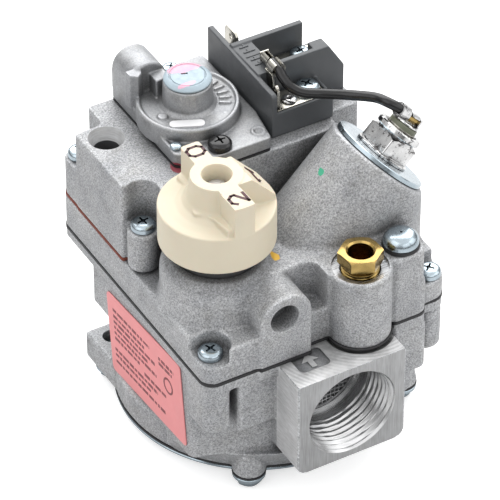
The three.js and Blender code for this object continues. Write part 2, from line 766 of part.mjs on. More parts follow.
// ---------------------------------------------------------------- terminal block on the regulator casting
const WALL_TOP = 50.8;
const BRIDGE_TOP = 50.5;
const BASE_TOP = 42.3;
function terminalBlock() {
  const endBlock = [
    [24.3, 36.3],
    [32.5, 36.3],
    [32.5, 44.3],
    [28, 51],
    [24.3, 51],
  ];
  const leftWall = new THREE.ExtrudeGeometry(
    outline([
      [-1.2, 36.3],
      [33, 36.3],
      [33, 50.3],
      [31.5, 50.3],
      [-1.2, 49.6],
    ]),
    { depth: 1.5, bevelEnabled: false },
  );
  leftWall.rotateX(Math.PI / 2).rotateZ(Math.PI / 2).translate(6, 0, 0);
  return carve(
    join(
      box(6.5, 24.4, -1.2, 33, 36.3, BASE_TOP),
      box(24.3, 32, 7.8, 22.8, 36.3, BASE_TOP),
      leftWall,
      box(7, 28.3, 21.3, 22.8, BASE_TOP - 0.5, WALL_TOP),
      box(7, 12.7, 7.8, 22.8, BASE_TOP - 0.5, BRIDGE_TOP),
      box(12.5, 24.4, 7.8, 9.3, BASE_TOP - 0.5, WALL_TOP),
      prismY(endBlock, 7.8, 13.5),
    ),
    bar(2.2, 37.5, 44, 19.5, 4),
    bar(2.2, 37.5, 44, 25.5, 17.5),
  );
}
piece("terminal_block", terminalBlock(), blackPlastic());

function terminalParts() {
  const front = { x: 19.5, y: 4 };
  const rear = { x: 25.5, y: 17.5 };
  const plateFront = carve(
    join(box(8.3, 23.6, -0.4, 7.2, 42.6, 43.3), box(8.3, 9.1, 0.4, 7.2, 42.7, 50)),
    bar(2.1, 42, 44, front.x, front.y),
    bar(1.4, 42, 44, 13.2, 2.6),
  );
  piece("terminal_plate_front", plateFront, nickel());
  const plateRear = carve(box(13.3, 31, 13.9, 21, 42.6, 43.3), bar(2.1, 42, 44, rear.x, rear.y));
  piece("terminal_plate_rear", plateRear, nickel());
  piece("terminal_screw_front", panScrew(front.x, front.y, 43.3, 38.5, 3.2, 1.8), zincSteel());
  piece("terminal_screw_rear", panScrew(rear.x, rear.y, 43.3, 38.5, 3.2, 1.8), zincSteel());
  const rivet = join(bar(1.9, 43.6, 44.4, 13.2, 2.6), bar(1.1, 42.6, 43.7, 13.2, 2.6));
  piece("terminal_rivet", rivet, nickel());
  piece("spade_tab", box(10.6, 11.4, 25.6, 31.9, 42.6, 50.4), nickel());
}
terminalParts();

// ---------------------------------------------------------------- lead from the terminal block to the magnet
function leadParts() {
  const start = new THREE.Vector3(11.5, 5.2, 52.4);
  const end = MAGNET_RIM.clone().add(new THREE.Vector3(8, 2.6, 12.4));
  const route = new THREE.CatmullRomCurve3([
    start,
    new THREE.Vector3(11.5, 3, 50.8),
    new THREE.Vector3(12.4, 0, 48.9),
    new THREE.Vector3(15, -1.6, 47.6),
    new THREE.Vector3(20, -3.9, 47.1),
    new THREE.Vector3(27.1, -8.1, 47),
    new THREE.Vector3(31.4, -13, 47),
    end,
  ]);
  piece("magnet_lead", wireAlong(route, LEAD_R, 24, 4), blackRubber());
  const { x, z } = start;
  const outer = 1.6;
  const inner = 1.35;
  const sleeve = join(
    box(x - outer, x + outer, 5.5, 12.5, z - outer, z + outer),
    box(x - outer, x - outer + 0.6, 4.6, 7.4, 45, z),
  );
  const inside = box(x - inner, x + inner, 4, 14, z - inner, z + inner);
  piece("lead_clip_block", carve(sleeve, inside), nickel());
  const ring = carve(sloped(bar(3.4, 12, 12.8)), sloped(bar(2.3, 11, 14)));
  piece("lead_clip_magnet", ring, nickel());
}
leadParts();

// ---------------------------------------------------------------- inlet strainer and rating label
function inletScreen() {
  const holes = [];
  const pitch = 4.4;
  for (let row = -2; row <= 2; row += 1)
    for (let column = -2; column <= 2; column += 1) {
      const x = (column + (row % 2 ? 0.5 : 0)) * pitch;
      const z = row * pitch * 0.87;
      const opening = box(-1.3, 1.3, -38, -36, -1.3, 1.3);
      if (Math.hypot(x, z) < 10) holes.push(opening.translate(PORT_X + x, 0, PORT_Z + z));
    }
  return carve(barY(PORT_R - CLEAR, -37.4, -36.6, PORT_X, PORT_Z), ...holes);
}
piece("inlet_screen", inletScreen(), plainSteel());

function ratingLabel() {
  const sheet = new THREE.BoxGeometry(0.2, 39.6, 25.6);
  sheet.rotateX(THREE.MathUtils.degToRad(-4)).translate(-37.25, -9.8, -17.4);
  return sheet;
}
piece("rating_label", ratingLabel(), standard(0xe2564a, 0.6, 0));

// ---------------------------------------------------------------- origin at the centre of the footprint
const bounds = new THREE.Box3().setFromObject(assembly);
const middle = bounds.getCenter(new THREE.Vector3());
assembly.position.set(-middle.x, -middle.y, -bounds.min.z);
const group = new THREE.Group();
group.add(assembly);

export default group;
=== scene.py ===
# Gas valve: the visible pieces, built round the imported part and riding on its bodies.
import math
import random

import bmesh
import bpy
from mathutils import Matrix, Vector


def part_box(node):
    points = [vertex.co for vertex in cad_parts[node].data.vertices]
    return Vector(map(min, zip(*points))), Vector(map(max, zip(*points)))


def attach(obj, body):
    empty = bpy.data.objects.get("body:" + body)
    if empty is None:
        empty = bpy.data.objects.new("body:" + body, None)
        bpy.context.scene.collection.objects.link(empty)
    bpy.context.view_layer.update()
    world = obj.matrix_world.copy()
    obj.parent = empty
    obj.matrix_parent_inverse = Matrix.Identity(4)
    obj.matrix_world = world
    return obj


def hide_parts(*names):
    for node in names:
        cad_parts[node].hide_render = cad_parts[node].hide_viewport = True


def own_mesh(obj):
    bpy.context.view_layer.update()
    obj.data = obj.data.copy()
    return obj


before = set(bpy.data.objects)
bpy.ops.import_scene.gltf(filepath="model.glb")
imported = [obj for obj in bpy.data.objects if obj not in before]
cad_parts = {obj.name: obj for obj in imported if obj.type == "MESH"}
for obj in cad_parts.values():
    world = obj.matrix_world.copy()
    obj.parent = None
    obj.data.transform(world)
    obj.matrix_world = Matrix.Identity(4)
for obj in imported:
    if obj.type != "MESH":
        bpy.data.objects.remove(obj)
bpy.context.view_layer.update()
random.seed(11)

# ---- layout frame
# Pieces are modelled in millimetres round the joint between the two main castings, and moved into
# the part's frame at the end. The diaphragm's middle and the lower casting's top fix that place.
MM = 0.001
SEAT = (0.0, -3.0)  # middle of the round diaphragm shell
_low, _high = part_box("main_diaphragm")
_middle = (_low + _high) / 2
PLACE = Vector((_middle.x, _middle.y - SEAT[1] * MM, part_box("lower_body")[1].z))
TO_PART = Matrix.Translation(PLACE) @ Matrix.Diagonal((MM, MM, MM, 1))

# The castings' sides and levels.
LEFT, RIGHT, FRONT, REAR = -37.7, 35.2, -43.2, 35.0
LIP = 3.0
FLANGE_BOTTOM, FLANGE_TOP = 0.6, 10.9
DECK_TOP = 22.0
BLOCK_BOTTOM, BLOCK_TOP = 12.1, 36.0
COVER_BOTTOM, COVER_TOP = 36.8, 40.5
SHELL_BOTTOM = -40.0
PORT_X, PORT_Z, PORT_R = -0.7, -15.2, 12.1
INLET_FACE, OUTLET_FACE = -54.3, 48.3
# Upright axes, as (x, y).
COCK = (-22.0, -21.3)
REGULATOR = (-9.9, 15.2)
PILOT = (8.2, -42.2)
PLUG = (21.5, -40.4)
# Middle of the sloping boss's rim, and the round shell's sizes.
MAGNET_RIM = Vector((26.6, -20.1, 34.7))
MAGNET_R = 14.5
RIM_R, LEDGE_R, LEDGE_Z = 38.5, 43.5, -31.5
COVER_SCREW_R = 39.2
COVER_SCREWS = [
    (COVER_SCREW_R * math.cos(a), COVER_SCREW_R * math.sin(a) + SEAT[1])
    for a in map(math.radians, (144.1, 237.4, 324.1, 57.4))
]
# Body screws are (x, y, seat level), regulator screws (x, y, head radius).
BODY_SCREWS = [
    (-33.3, -37.5, 6.0),
    (-33.6, -3.1, 23.7),
    (-33.5, 31.5, 23.7),
    (31.2, -39.0, 7.0),
    (30.5, 31.0, 23.7),
]
REGULATOR_SCREWS = [(-10.2, -2.2, 3.2), (-20.2, 3.2, 1.6), (-5.5, 32.3, 2.4)]
# The vent and the front hole run along Y, at (x, z).
VENT = (-16.5, 46.5)
FRONT_HOLE = (-15.1, 15.2)
TAPPED_HOLE = (-31.2, 20.7)
FRONT_TERMINAL = (19.5, 4.0)
REAR_TERMINAL = (25.5, 17.5)
PLATE_BOTTOM, PLATE_TOP = 42.6, 43.35
# A distance past every side, and the least that counts as a difference.
FAR, TINY = 60, 1e-6


def moved(x, y=0.0, z=0.0):
    return Matrix.Translation((x, y, z))


def rotated(degrees, axis="Z"):
    return Matrix.Rotation(math.radians(degrees), 4, axis)


ALONG_X = rotated(90, "Y")
ALONG_Y = rotated(-90, "X")
SLOPE = Matrix.Translation(MAGNET_RIM) @ rotated(45, "Y")


# ---- mesh tools
COARSE_SKIN, FINE_SKIN = 0.42, 0.24


def in_scene(name, data):
    obj = bpy.data.objects.new(name, data)
    bpy.context.scene.collection.objects.link(obj)
    return obj


def made(name, bm, matrix=None):
    """The mesh as an object, its faces turned outward."""
    if matrix is not None:
        bm.transform(matrix)
    bmesh.ops.recalc_face_normals(bm, faces=bm.faces)
    mesh = bpy.data.meshes.new(name)
    bm.to_mesh(mesh)
    bm.free()
    return in_scene(name, mesh)


def rounded(corners, steps=8):
    """Outline points of a polygon whose corners [x, y, radius] are true arcs."""
    points = []
    count = len(corners)
    for i, corner in enumerate(corners):
        here = Vector(corner[:2])
        radius = corner[2] if len(corner) > 2 else 0
        if not radius:
            points.append(here)
            continue
        before = (Vector(corners[i - 1][:2]) - here).normalized()
        after = (Vector(corners[(i + 1) % count][:2]) - here).normalized()
        half = before.angle(after) / 2
        bisector = (before + after).normalized()
        centre = here + bisector * radius / math.sin(half)
        start = here + before * radius / math.tan(half) - centre
        end = here + after * radius / math.tan(half) - centre
        turn = start.angle_signed(end)
        for k in range(steps + 1):
            points.append(centre + Matrix.Rotation(-turn * k / steps, 2) @ start)
    return points


def bevel(bm, edges, width, segments, **options):
    bmesh.ops.bevel(bm, geom=edges, offset=width, segments=segments, profile=0.5, affect="EDGES", **options)


def prism(corners, z0, z1, edge=0.0, matrix=None):
    """Upright prism on a rounded outline, its end edges bevelled."""
    bm = bmesh.new()
    ring = [bm.verts.new((p.x, p.y, z0)) for p in rounded(corners)]
    bottom = bm.faces.new(ring)
    lifted = bmesh.ops.extrude_face_region(bm, geom=[bottom])["geom"]
    top_verts = [v for v in lifted if isinstance(v, bmesh.types.BMVert)]
    bmesh.ops.translate(bm, verts=top_verts, vec=(0, 0, z1 - z0))
    bmesh.ops.recalc_face_normals(bm, faces=bm.faces)
    if edge:
        ends = [e for e in bm.edges if abs(e.verts[0].co.z - e.verts[1].co.z) < TINY]
        bevel(bm, ends, edge, 3, clamp_overlap=True)
    return made("prism", bm, matrix)


def turned(profile, x=0.0, y=0.0, count=72, matrix=None):
    """Upright turned piece from a profile of (radius, z) that starts and ends on the axis, or is closed."""
    bm = bmesh.new()
    whole_turn = [2 * math.pi * k / count for k in range(count)]
    rings = []
    for r, z in profile:
        angles = whole_turn if r > TINY else [0.0]
        rings.append([bm.verts.new((x + r * math.cos(a), y + r * math.sin(a), z)) for a in angles])
    pairs = list(zip(rings, rings[1:]))
    if profile[0][0] > TINY:
        pairs.append((rings[-1], rings[0]))
    for low, high in pairs:
        for k in range(count):
            a, b = low[k % len(low)], low[(k + 1) % len(low)]
            c, d = high[(k + 1) % len(high)], high[k % len(high)]
            corners = list(dict.fromkeys([a, b, c, d]))
            if len(corners) > 2:
                bm.faces.new(corners)
    return made("turned", bm, matrix)


def bar(r, z0, z1, x=0.0, y=0.0, edge=0.0, top=None, matrix=None, count=72):
    """Round bar, or cone when top gives another radius."""
    top = r if top is None else top
    if edge:
        profile = [(0, z0), (r - edge, z0), (r, z0 + edge), (top, z1 - edge)]
        profile += [(top - edge, z1), (0, z1)]
    else:
        profile = [(0, z0), (r, z0), (top, z1), (0, z1)]
    return turned(profile, x, y, count, matrix)


def bar_y(r, y0, y1, x, z, top=None, count=72, edge=0.0):
    return bar(r, y0, y1, edge=edge, top=top, matrix=moved(x, 0, z) @ ALONG_Y, count=count)


def box(x0, x1, y0, y1, z0, z1, edge=0.0, matrix=None):
    bm = bmesh.new()
    bmesh.ops.create_cube(bm, size=1)
    for v in bm.verts:
        v.co = Vector(((x0, x1)[v.co.x > 0], (y0, y1)[v.co.y > 0], (z0, z1)[v.co.z > 0]))
    if edge:
        bevel(bm, list(bm.edges), edge, 3)
    return made("box", bm, matrix)


def slab(z0, z1):
    """Plate far wider than the valve, to trim its castings level."""
    return box(-FAR, FAR, -FAR, FAR, z0, z1)


def oblong(x0, x1, y0, y1, r=0.0):
    """Outline of a rectangle with one corner radius."""
    return [[x0, y0, r], [x1, y0, r], [x1, y1, r], [x0, y1, r]]


def prism_y(corners, y0, y1, edge=0.0):
    """Prism along Y on an outline given as [x, z, radius]."""
    flipped = [[c[0], -c[1]] + list(c[2:]) for c in corners]
    return prism(flipped, y0, y1, edge, ALONG_Y)


def prism_x(corners, x0, x1, edge=0.0):
    """Prism along X on an outline given as [y, z, radius]."""
    spin = Matrix(((0, 0, 1, 0), (1, 0, 0, 0), (0, 1, 0, 0), (0, 0, 0, 1)))
    return prism(corners, x0, x1, edge, spin)


def hexagon(flats, z0, z1, x, y, edge, spin):
    """Hexagonal bar whose corners are turned off at both ends."""
    corner = flats / math.sqrt(3)
    ring = []
    for k in range(6):
        a = math.radians(60 * k + spin)
        ring.append([x + corner * math.cos(a), y + corner * math.sin(a), 0.25])
    flat, wide, drop, skim = flats / 2 - 0.05, corner + 0.1, edge + 0.35, 0.01
    limit = [(0, z0 - skim), (flat, z0 - skim), (wide, z0 + drop)]
    limit += [(wide, z1 - drop), (flat, z1 + skim), (0, z1 + skim)]
    return boolean(prism(ring, z0, z1), "INTERSECT", turned(limit, x, y))


def join_rings(bm, rings):
    """Faces between neighbouring rings of one count, and over both ends."""
    count = len(rings[0])
    for low, high in zip(rings, rings[1:]):
        for k in range(count):
            after = (k + 1) % count
            bm.faces.new((low[k], low[after], high[after], high[k]))
    bm.faces.new(rings[0])
    bm.faces.new(rings[-1])


def swept(points, radius, sides):
    """Round tube along a smooth run of points, closed at both ends."""
    bm = bmesh.new()
    rings = []
    side = None
    for i, p in enumerate(points):
        ahead = (points[min(i + 1, len(points) - 1)] - points[max(i - 1, 0)]).normalized()
        if side is None:
            side = ahead.orthogonal().normalized()
        side = (side - ahead * side.dot(ahead)).normalized()
        other = ahead.cross(side)
        ring = []
        for k in range(sides):
            a = 2 * math.pi * k / sides
            ring.append(bm.verts.new(p + (side * math.cos(a) + other * math.sin(a)) * radius))
        rings.append(ring)
    join_rings(bm, rings)
    return made("swept", bm)


def smooth_route(points, per_span):
    """Catmull-Rom run through the given points."""
    run = [points[0]] + list(points) + [points[-1]]
    out = []
    for a, b, c, d in zip(run, run[1:], run[2:], run[3:]):
        for k in range(per_span):
            t = k / per_span
            bend = (2 * a - 5 * b + 4 * c - d) * t * t + (3 * b - a - 3 * c + d) * t**3
            out.append((2 * b + (c - a) * t + bend) / 2)
    out.append(points[-1])
    return out


def baked(obj):
    """Applies the object's modifiers."""
    graph = bpy.context.evaluated_depsgraph_get()
    mesh = bpy.data.meshes.new_from_object(obj.evaluated_get(graph))
    obj.modifiers.clear()
    old = obj.data
    obj.data = mesh
    bpy.data.meshes.remove(old)
    return obj


def dropped(obj):
    mesh = obj.data
    bpy.data.objects.remove(obj)
    bpy.data.meshes.remove(mesh)


def boolean(obj, operation, *others):
    """Union, difference or intersection with closed meshes, which are used up."""
    for other in others:
        step = obj.modifiers.new("cut", "BOOLEAN")
        step.operation = operation
        step.solver = "MANIFOLD"
        step.object = other
    bpy.context.view_layer.update()
    baked(obj)
    for other in others:
        dropped(other)
    return obj


def cut(obj, *others):
    return boolean(obj, "DIFFERENCE", *others)


def joined(obj, *others):
    return boolean(obj, "UNION", *others)


def merged(objects):
    """Several meshes as one object, without joining their surfaces."""
    bm = bmesh.new()
    for o in objects:
        bm.from_mesh(o.data)
        dropped(o)
    return made("merged", bm)


def marked(body, marks):
    """The body with its marks merged in, and a picker that gives the marks the second material."""
    count = len(body.data.polygons)
    return merged([body, *marks]), lambda face: int(face.index >= count)


def skinned(obj, voxel, passes):
    """One even skin over everything in the mesh, with its edges and inner corners rounded like a casting."""
    step = obj.modifiers.new("skin", "REMESH")
    step.mode = "VOXEL"
    step.voxel_size = voxel
    if passes:
        soften = obj.modifiers.new("soften", "SMOOTH")
        soften.factor = 0.5
        soften.iterations = passes
    bpy.context.view_layer.update()
    return baked(obj)

def casting(adds, cast_cuts, machined_cuts, voxel=COARSE_SKIN, passes=3):
    """A die casting: rounded skin first, then crisp machined cuts."""
    body = merged(adds)
    if cast_cuts:
        skinned(body, voxel, 0)
        cut(body, *cast_cuts)
    skinned(body, voxel, passes)
    return cut(body, *machined_cuts)


def paint(obj, materials, pick=None):
    """Gives the object its materials; pick(face) returns the index of a face's material."""
    obj.data.materials.clear()
    for m in materials:
        obj.data.materials.append(m)
    for face in obj.data.polygons:
        face.material_index = pick(face) if pick else 0


def shown(obj, materials, name, slot, nodes, body="valve", angle=35, pick=None):
    """Paints a finished piece and puts it in the part's frame, on its body, in place of its CAD nodes."""
    paint(obj, materials, pick)
    obj.name = name
    obj.data.name = name
    obj.data.transform(TO_PART)
    obj.data.shade_smooth()
    obj.data.set_sharp_from_angle(angle=math.radians(angle))
    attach(obj, body)
    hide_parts(*nodes)


# ---- materials
def grey(v, tint=0.0):
    return (v - tint * 0.5, v, v + tint)


def set_stops(node, stops):
    """Gives a colour ramp its (position, colour or grey level) stops."""
    elements = node.color_ramp.elements
    while len(elements) < len(stops):
        elements.new(0.5)
    for element, (at, colour) in zip(elements, stops):
        element.position = at
        colour = grey(colour) if isinstance(colour, float) else colour
        element.color = (*colour, 1)


def preset(node, **inputs):
    """Sets a node's inputs. An underscore in an input's name stands for a space."""
    for key, value in inputs.items():
        node.inputs[key.replace("_", " ")].default_value = value
    return node


class Shader:
    """A small helper for node materials that read the piece's own coordinates."""

    def __init__(self, name):
        self.material = bpy.data.materials.new(name)
        self.material.use_nodes = True
        self.tree = self.material.node_tree
        self.bsdf = self.tree.nodes["Principled BSDF"]
        self.place = self.node("TexCoord").outputs["Object"]

    def node(self, kind, **inputs):
        return preset(self.tree.nodes.new("ShaderNode" + kind), **inputs)

    def link(self, a, b):
        self.tree.links.new(a, b)

    def into(self, socket, value):
        self.link(value, self.bsdf.inputs[socket])

    def dress(self, tone, rough, **settings):
        """Sets the base colour and roughness, and plain inputs by name."""
        self.into("Base Color", tone)
        self.into("Roughness", rough)
        preset(self.bsdf, **settings)

    def painted(self, tone, spots):
        for spot in spots:
            tone = self.spot(tone, *spot)
        return tone

    def fill(self, *pairs):
        """Links or sets each (socket, value) pair."""
        for socket, value in pairs:
            if isinstance(value, bpy.types.NodeSocket):
                self.link(value, socket)
            elif isinstance(value, (int, float)):
                socket.default_value = value
            else:
                socket.default_value = (*value, 1)

    def mapped(self, **inputs):
        """The piece's coordinates, scaled or moved."""
        node = self.node("Mapping", **inputs)
        self.link(self.place, node.inputs["Vector"])
        return node.outputs["Vector"]

    def noise(self, scale, detail=4.0, rough=0.55, place=None):
        node = self.node("TexNoise", Scale=scale, Detail=detail, Roughness=rough)
        self.link(place or self.place, node.inputs["Vector"])
        return node.outputs["Fac"]

    def ramp(self, value, *stops):
        node = self.node("ValToRGB")
        set_stops(node, stops)
        self.link(value, node.inputs["Fac"])
        return node.outputs["Color"]

    def mix(self, factor, a, b, blend="MIX"):
        node = self.node("Mix")
        node.data_type = "RGBA"
        node.blend_type = blend
        self.fill((node.inputs[0], factor), (node.inputs[6], a), (node.inputs[7], b))
        return node.outputs[2]

    def times(self, tone, share, other):
        """Multiplies a share of another tone in."""
        return self.mix(share, tone, other, "MULTIPLY")

    def math(self, operation, a, b=0.5):
        node = self.node("Math")
        node.operation = operation
        self.fill((node.inputs[0], a), (node.inputs[1], b))
        return node.outputs[0]

    def bump(self, height, strength, distance, under=None):
        node = self.node("Bump", Strength=strength, Distance=distance)
        self.link(height, node.inputs["Height"])
        if under is not None:
            self.link(under, node.inputs["Normal"])
        self.into("Normal", node.outputs["Normal"])
        return node.outputs["Normal"]

    def edges(self, *stops):
        """Painted shade in inner corners, and brightening of worn outer edges."""
        return self.ramp(self.node("NewGeometry").outputs["Pointiness"], *stops)

    def painted_corner_shade(self, distance, *stops):
        """Painted shade: darkening in corners and under overhangs, where light is blocked."""
        node = self.node("AmbientOcclusion", Distance=distance)
        node.samples = 6
        return self.ramp(node.outputs["AO"], *stops)

    def reach(self, centre, reach):
        """Distance from a layout position, counted in its reach in millimetres along each axis."""
        scale = [1 / (r * MM) for r in reach]
        back = [-c * k for c, k in zip(TO_PART @ Vector(centre), scale)]
        place = self.mapped(Scale=scale, Location=back)
        length = self.node("VectorMath")
        length.operation = "LENGTH"
        self.link(place, length.inputs[0])
        return length.outputs["Value"]

    def spot(self, tone, centre, reach, colour, wobble=0.35):
        """A blob of paint with a ragged edge."""
        ragged = self.math("MULTIPLY", self.noise(900, 3), wobble * 2)
        distance = self.math("ADD", self.reach(centre, reach), self.math("SUBTRACT", ragged, wobble))
        return self.mix(self.math("LESS_THAN", distance, 1.0), tone, colour)

    def shade(self, tone, centre, reach, darkest):
        """Painted shadow: a soft dark patch that fades out at its reach."""
        return self.times(tone, 1.0, self.ramp(self.reach(centre, reach), (0.5, darkest), (0.98, 1.0)))


def cast_aluminium(name, level, grain=1.0, metallic=0.3, spots=(), shades=()):
    """Grainy die-cast metal with clouds, stains and worn edges, painted shade in its corners and painted
    shadows from shades.
    """
    s = Shader(name)
    tone = s.ramp(s.noise(95, 5), (0.3, grey(level * 0.84, 0.014)), (0.7, grey(level * 1.12, 0.008)))
    speckle = s.ramp(s.noise(2100, 5, 0.85), (0.38, 0.4), (0.5, 0.95), (0.62, 1.65))
    tone = s.times(tone, 0.85 * grain, speckle)
    tone = s.times(tone, 0.7, s.ramp(s.noise(210, 6, 0.7), (0.32, (0.78, 0.77, 0.74)), (0.5, 1.0)))
    # painted shade in inner corners, brighter worn outer edges
    tone = s.times(tone, 0.85, s.edges((0.46, 0.66), (0.5, 1.0), (0.55, 1.32)))
    # painted shade in corners and under overhangs
    tone = s.times(tone, 0.85, s.painted_corner_shade(0.006, (0.2, 0.35), (0.75, 1.0)))
    # shades are painted shadows laid on the colour
    for shade in shades:
        tone = s.shade(tone, *shade)
    tone = s.painted(tone, spots)
    s.dress(tone, s.ramp(s.noise(240, 4), (0.3, 0.42), (0.7, 0.58)), Metallic=metallic)
    under = s.bump(s.noise(520, 4, 0.6), 0.15 * grain, 0.0004)
    s.bump(s.noise(1900, 4, 0.75), 0.5 * grain, 0.00014, under)
    return s.material


def machined(name, level, streak, strength=0.25, roughness=0.3, metallic=0.95):
    """Cut metal with fine parallel tool marks; streak stretches the marks."""
    s = Shader(name)
    marks = s.noise(1.0, 3, 0.6, s.mapped(Scale=streak))
    broad = s.noise(120, 4)
    tone = s.ramp(marks, (0.3, level * 0.8), (0.7, grey(level * 1.15, 0.01)))
    tone = s.times(tone, 0.5, s.ramp(broad, (0.35, 0.75), (0.65, 1.05)))
    s.dress(tone, s.ramp(marks, (0.3, roughness), (0.7, roughness + 0.16)), Metallic=metallic)
    s.bump(marks, strength, 0.0001)
    return s.material


def faced(name):
    """Flat milled face with arcs left by a wide cutter."""
    s = Shader(name)
    wave = s.node("TexWave", Scale=260, Distortion=1.2, Detail_Scale=60)
    wave.wave_type = "RINGS"
    wave.rings_direction = "Z"
    s.link(s.mapped(Location=(-0.012, 0.034, 0)), wave.inputs["Vector"])
    arcs = s.ramp(wave.outputs["Color"], (0.2, 0.84), (0.8, 1.12))
    patches = s.ramp(s.noise(130, 5, 0.6), (0.35, 0.42), (0.65, 0.78))
    tone = s.times(patches, s.ramp(s.noise(70, 3), (0.4, 0.1), (0.6, 0.75)), arcs)
    # painted shade in inner corners, brighter worn outer edges
    tone = s.times(tone, 0.8, s.edges((0.47, 0.7), (0.5, 1.0), (0.54, 1.4)))
    # painted shade in corners and under overhangs
    tone = s.times(tone, 0.7, s.painted_corner_shade(0.004, (0.3, 0.35), (0.9, 1.0)))
    s.dress(tone, s.ramp(s.noise(300, 4), (0.3, 0.3), (0.7, 0.5)), Metallic=0.65)
    s.bump(wave.outputs["Color"], 0.1, 0.00005)
    return s.material


def plated(name, colour, roughness=0.25, variation=0.08, metallic=1.0, marks=0.0, spots=()):
    """Plated or plain sheet metal with faint clouding; marks lays sparse dark patches of painted reflection.
    """
    s = Shader(name)
    dim = tuple(c * (1 - variation) for c in colour)
    tone = s.ramp(s.noise(260, 5, 0.6), (0.35, dim), (0.65, colour))
    # painted shade in inner corners, brighter worn outer edges
    tone = s.times(tone, 0.6, s.edges((0.44, 0.6), (0.5, 1.0), (0.58, 1.15)))
    # painted shade in corners and under overhangs
    tone = s.times(tone, 0.8, s.painted_corner_shade(0.003, (0.3, 0.35), (0.8, 1.0)))
    # painted dark reflections
    if marks:
        tone = s.times(tone, marks, s.ramp(s.noise(430, 6, 0.8), (0.42, (0.13, 0.12, 0.12)), (0.45, 1.0)))
    tone = s.painted(tone, spots)
    s.dress(tone, s.ramp(s.noise(900, 4), (0.3, roughness * 0.8), (0.7, roughness * 1.3)), Metallic=metallic)
    s.bump(s.noise(1400, 3), 0.08, 0.0001)
    return s.material


def plastic(name, colour, roughness=0.45, grain=900, strength=0.1, variation=0.06, subsurface=0.0):
    """Moulded, painted or printed surface with a fine grain."""
    s = Shader(name)
    dim = tuple(c * (1 - variation) for c in colour)
    tone = s.ramp(s.noise(110, 4), (0.3, dim), (0.7, colour))
    s.dress(tone, s.ramp(s.noise(400, 4), (0.3, roughness * 0.88), (0.7, roughness * 1.12)))
    if subsurface:
        preset(s.bsdf, Subsurface_Weight=subsurface, Subsurface_Scale=0.002)
    s.bump(s.noise(grain, 4, 0.6), strength, 0.0001)
    return s.material


# Blobs are (layout position, reach along each axis in millimetres, colour or darkest level).
PAINT_GREEN, PINK = (0.07, 0.42, 0.26), (0.62, 0.36, 0.45)
GREEN_DOT = ((8.9, -21.0, 37.5), (1.0, 0.9, 1.0), PAINT_GREEN)
GREEN_TAIL = ((9.1, -20.2, 38.6), (0.45, 0.6, 1.3), PAINT_GREEN)
# KNOB_SHADE is a painted shadow of the knob on the tower below it.
KNOB_SHADE = ((-22.0, -21.3, 27.0), (18.5, 18.5, 13.0), 0.05)
YELLOW_DOT = ((-9.4, -28.4, 22.0), (1.5, 1.6, 1.5), (0.62, 0.37, 0.04))
RED_SEALANT = ((-21.4, 0.6, 36.2), (1.5, 2.5, 1.6), (0.30, 0.07, 0.09))
CAP_SPOTS = (
    ((-8.6, 18.9, 52.0), (5.2, 2.5, 2.5), PINK),
    ((-12.0, 11.8, 52.0), (2.6, 0.8, 2.5), PINK),
)
CAST = cast_aluminium("cast_aluminium", 0.385)
UPPER_SPOTS = (GREEN_DOT, GREEN_TAIL, YELLOW_DOT)
# the upper casting carries the knob's painted shadow
CAST_UPPER = cast_aluminium("cast_upper", 0.385, spots=UPPER_SPOTS, shades=(KNOB_SHADE,))
CAST_BLOCK = cast_aluminium("cast_block", 0.36, spots=(RED_SEALANT,))
CAST_COVER = cast_aluminium("cast_cover", 0.37, 0.35, 0.7, spots=(RED_SEALANT,))
CUT_FACE = machined("milled_aluminium", 0.42, (2600, 2600, 160))
CUT_SIDE = machined("milled_side", 0.62, (300, 300, 1800), 0.2, 0.4, 0.4)
# near-black painted shade for a bore's inside and the shaded cock bonnet
SHADE_BLACK = plastic("painted_shade_black", (0.06, 0.06, 0.062), 0.6, 900, 0.3, 0.3)
CUT_BORE = machined("bored_aluminium", 0.66, (60, 2600, 60), 0.2, 0.22)
CUT_TOP = faced("faced_aluminium")
ZINC = plated("zinc_plate", (0.45, 0.525, 0.575), 0.22, 0.2)
STEEL = plated("plain_steel", (0.5, 0.5, 0.51), 0.32, 0.2)
NICKEL = plated("nickel_plate", (0.60, 0.58, 0.52), 0.2, 0.25)
BRASS = plated("brass", (0.50, 0.35, 0.125), 0.2, 0.3)
IVORY = plastic("ivory_plastic", (0.665, 0.597, 0.462), 0.5, 700, 0.06, 0.04, 0.1)
GREY_PLASTIC = plastic("dark_grey_plastic", (0.075, 0.08, 0.086), 0.42, 1500, 0.12, 0.15)
BLACK = plastic("black_plastic", (0.008, 0.008, 0.009), 0.2, 900, 0.08, 0.3)
RUBBER = plastic("black_rubber", (0.02, 0.02, 0.022), 0.6, 700, 0.25, 0.3)
LEAD = plastic("lead_sleeve", (0.008, 0.008, 0.009), 0.22, 300, 0.06, 0.3)
FIBRE = plastic("red_brown_fibre", (0.22, 0.05, 0.03), 0.8, 800, 0.4, 0.3)
# bright nickel: its dark marks are painted dark reflections, and its stronger clouding is part real
# variation, part painted reflection
BRIGHT_NICKEL = plated("bright_nickel", (0.74, 0.74, 0.74), 0.16, 0.3, marks=0.9)
CAP_ZINC = plated("cap_zinc", (0.33, 0.40, 0.445), 0.5, 0.1, 0.45, spots=CAP_SPOTS)
INSULATOR = plastic("insulator_film", (0.16, 0.17, 0.12), 0.5, 600, 0.1, 0.15)
LABEL = plastic("label_film", (0.84, 0.31, 0.315), 0.55, 700, 0.05, 0.06)
STICKER = plastic("paper_sticker", (0.78, 0.78, 0.79), 0.5, 900, 0.1, 0.1)
LABEL_INK = plastic("label_ink", (0.24, 0.07, 0.08), 0.6, 700, 0.05, 0.2)
KNOB_INK = plastic("dial_ink", (0.09, 0.035, 0.04), 0.6, 900, 0.1, 0.3)


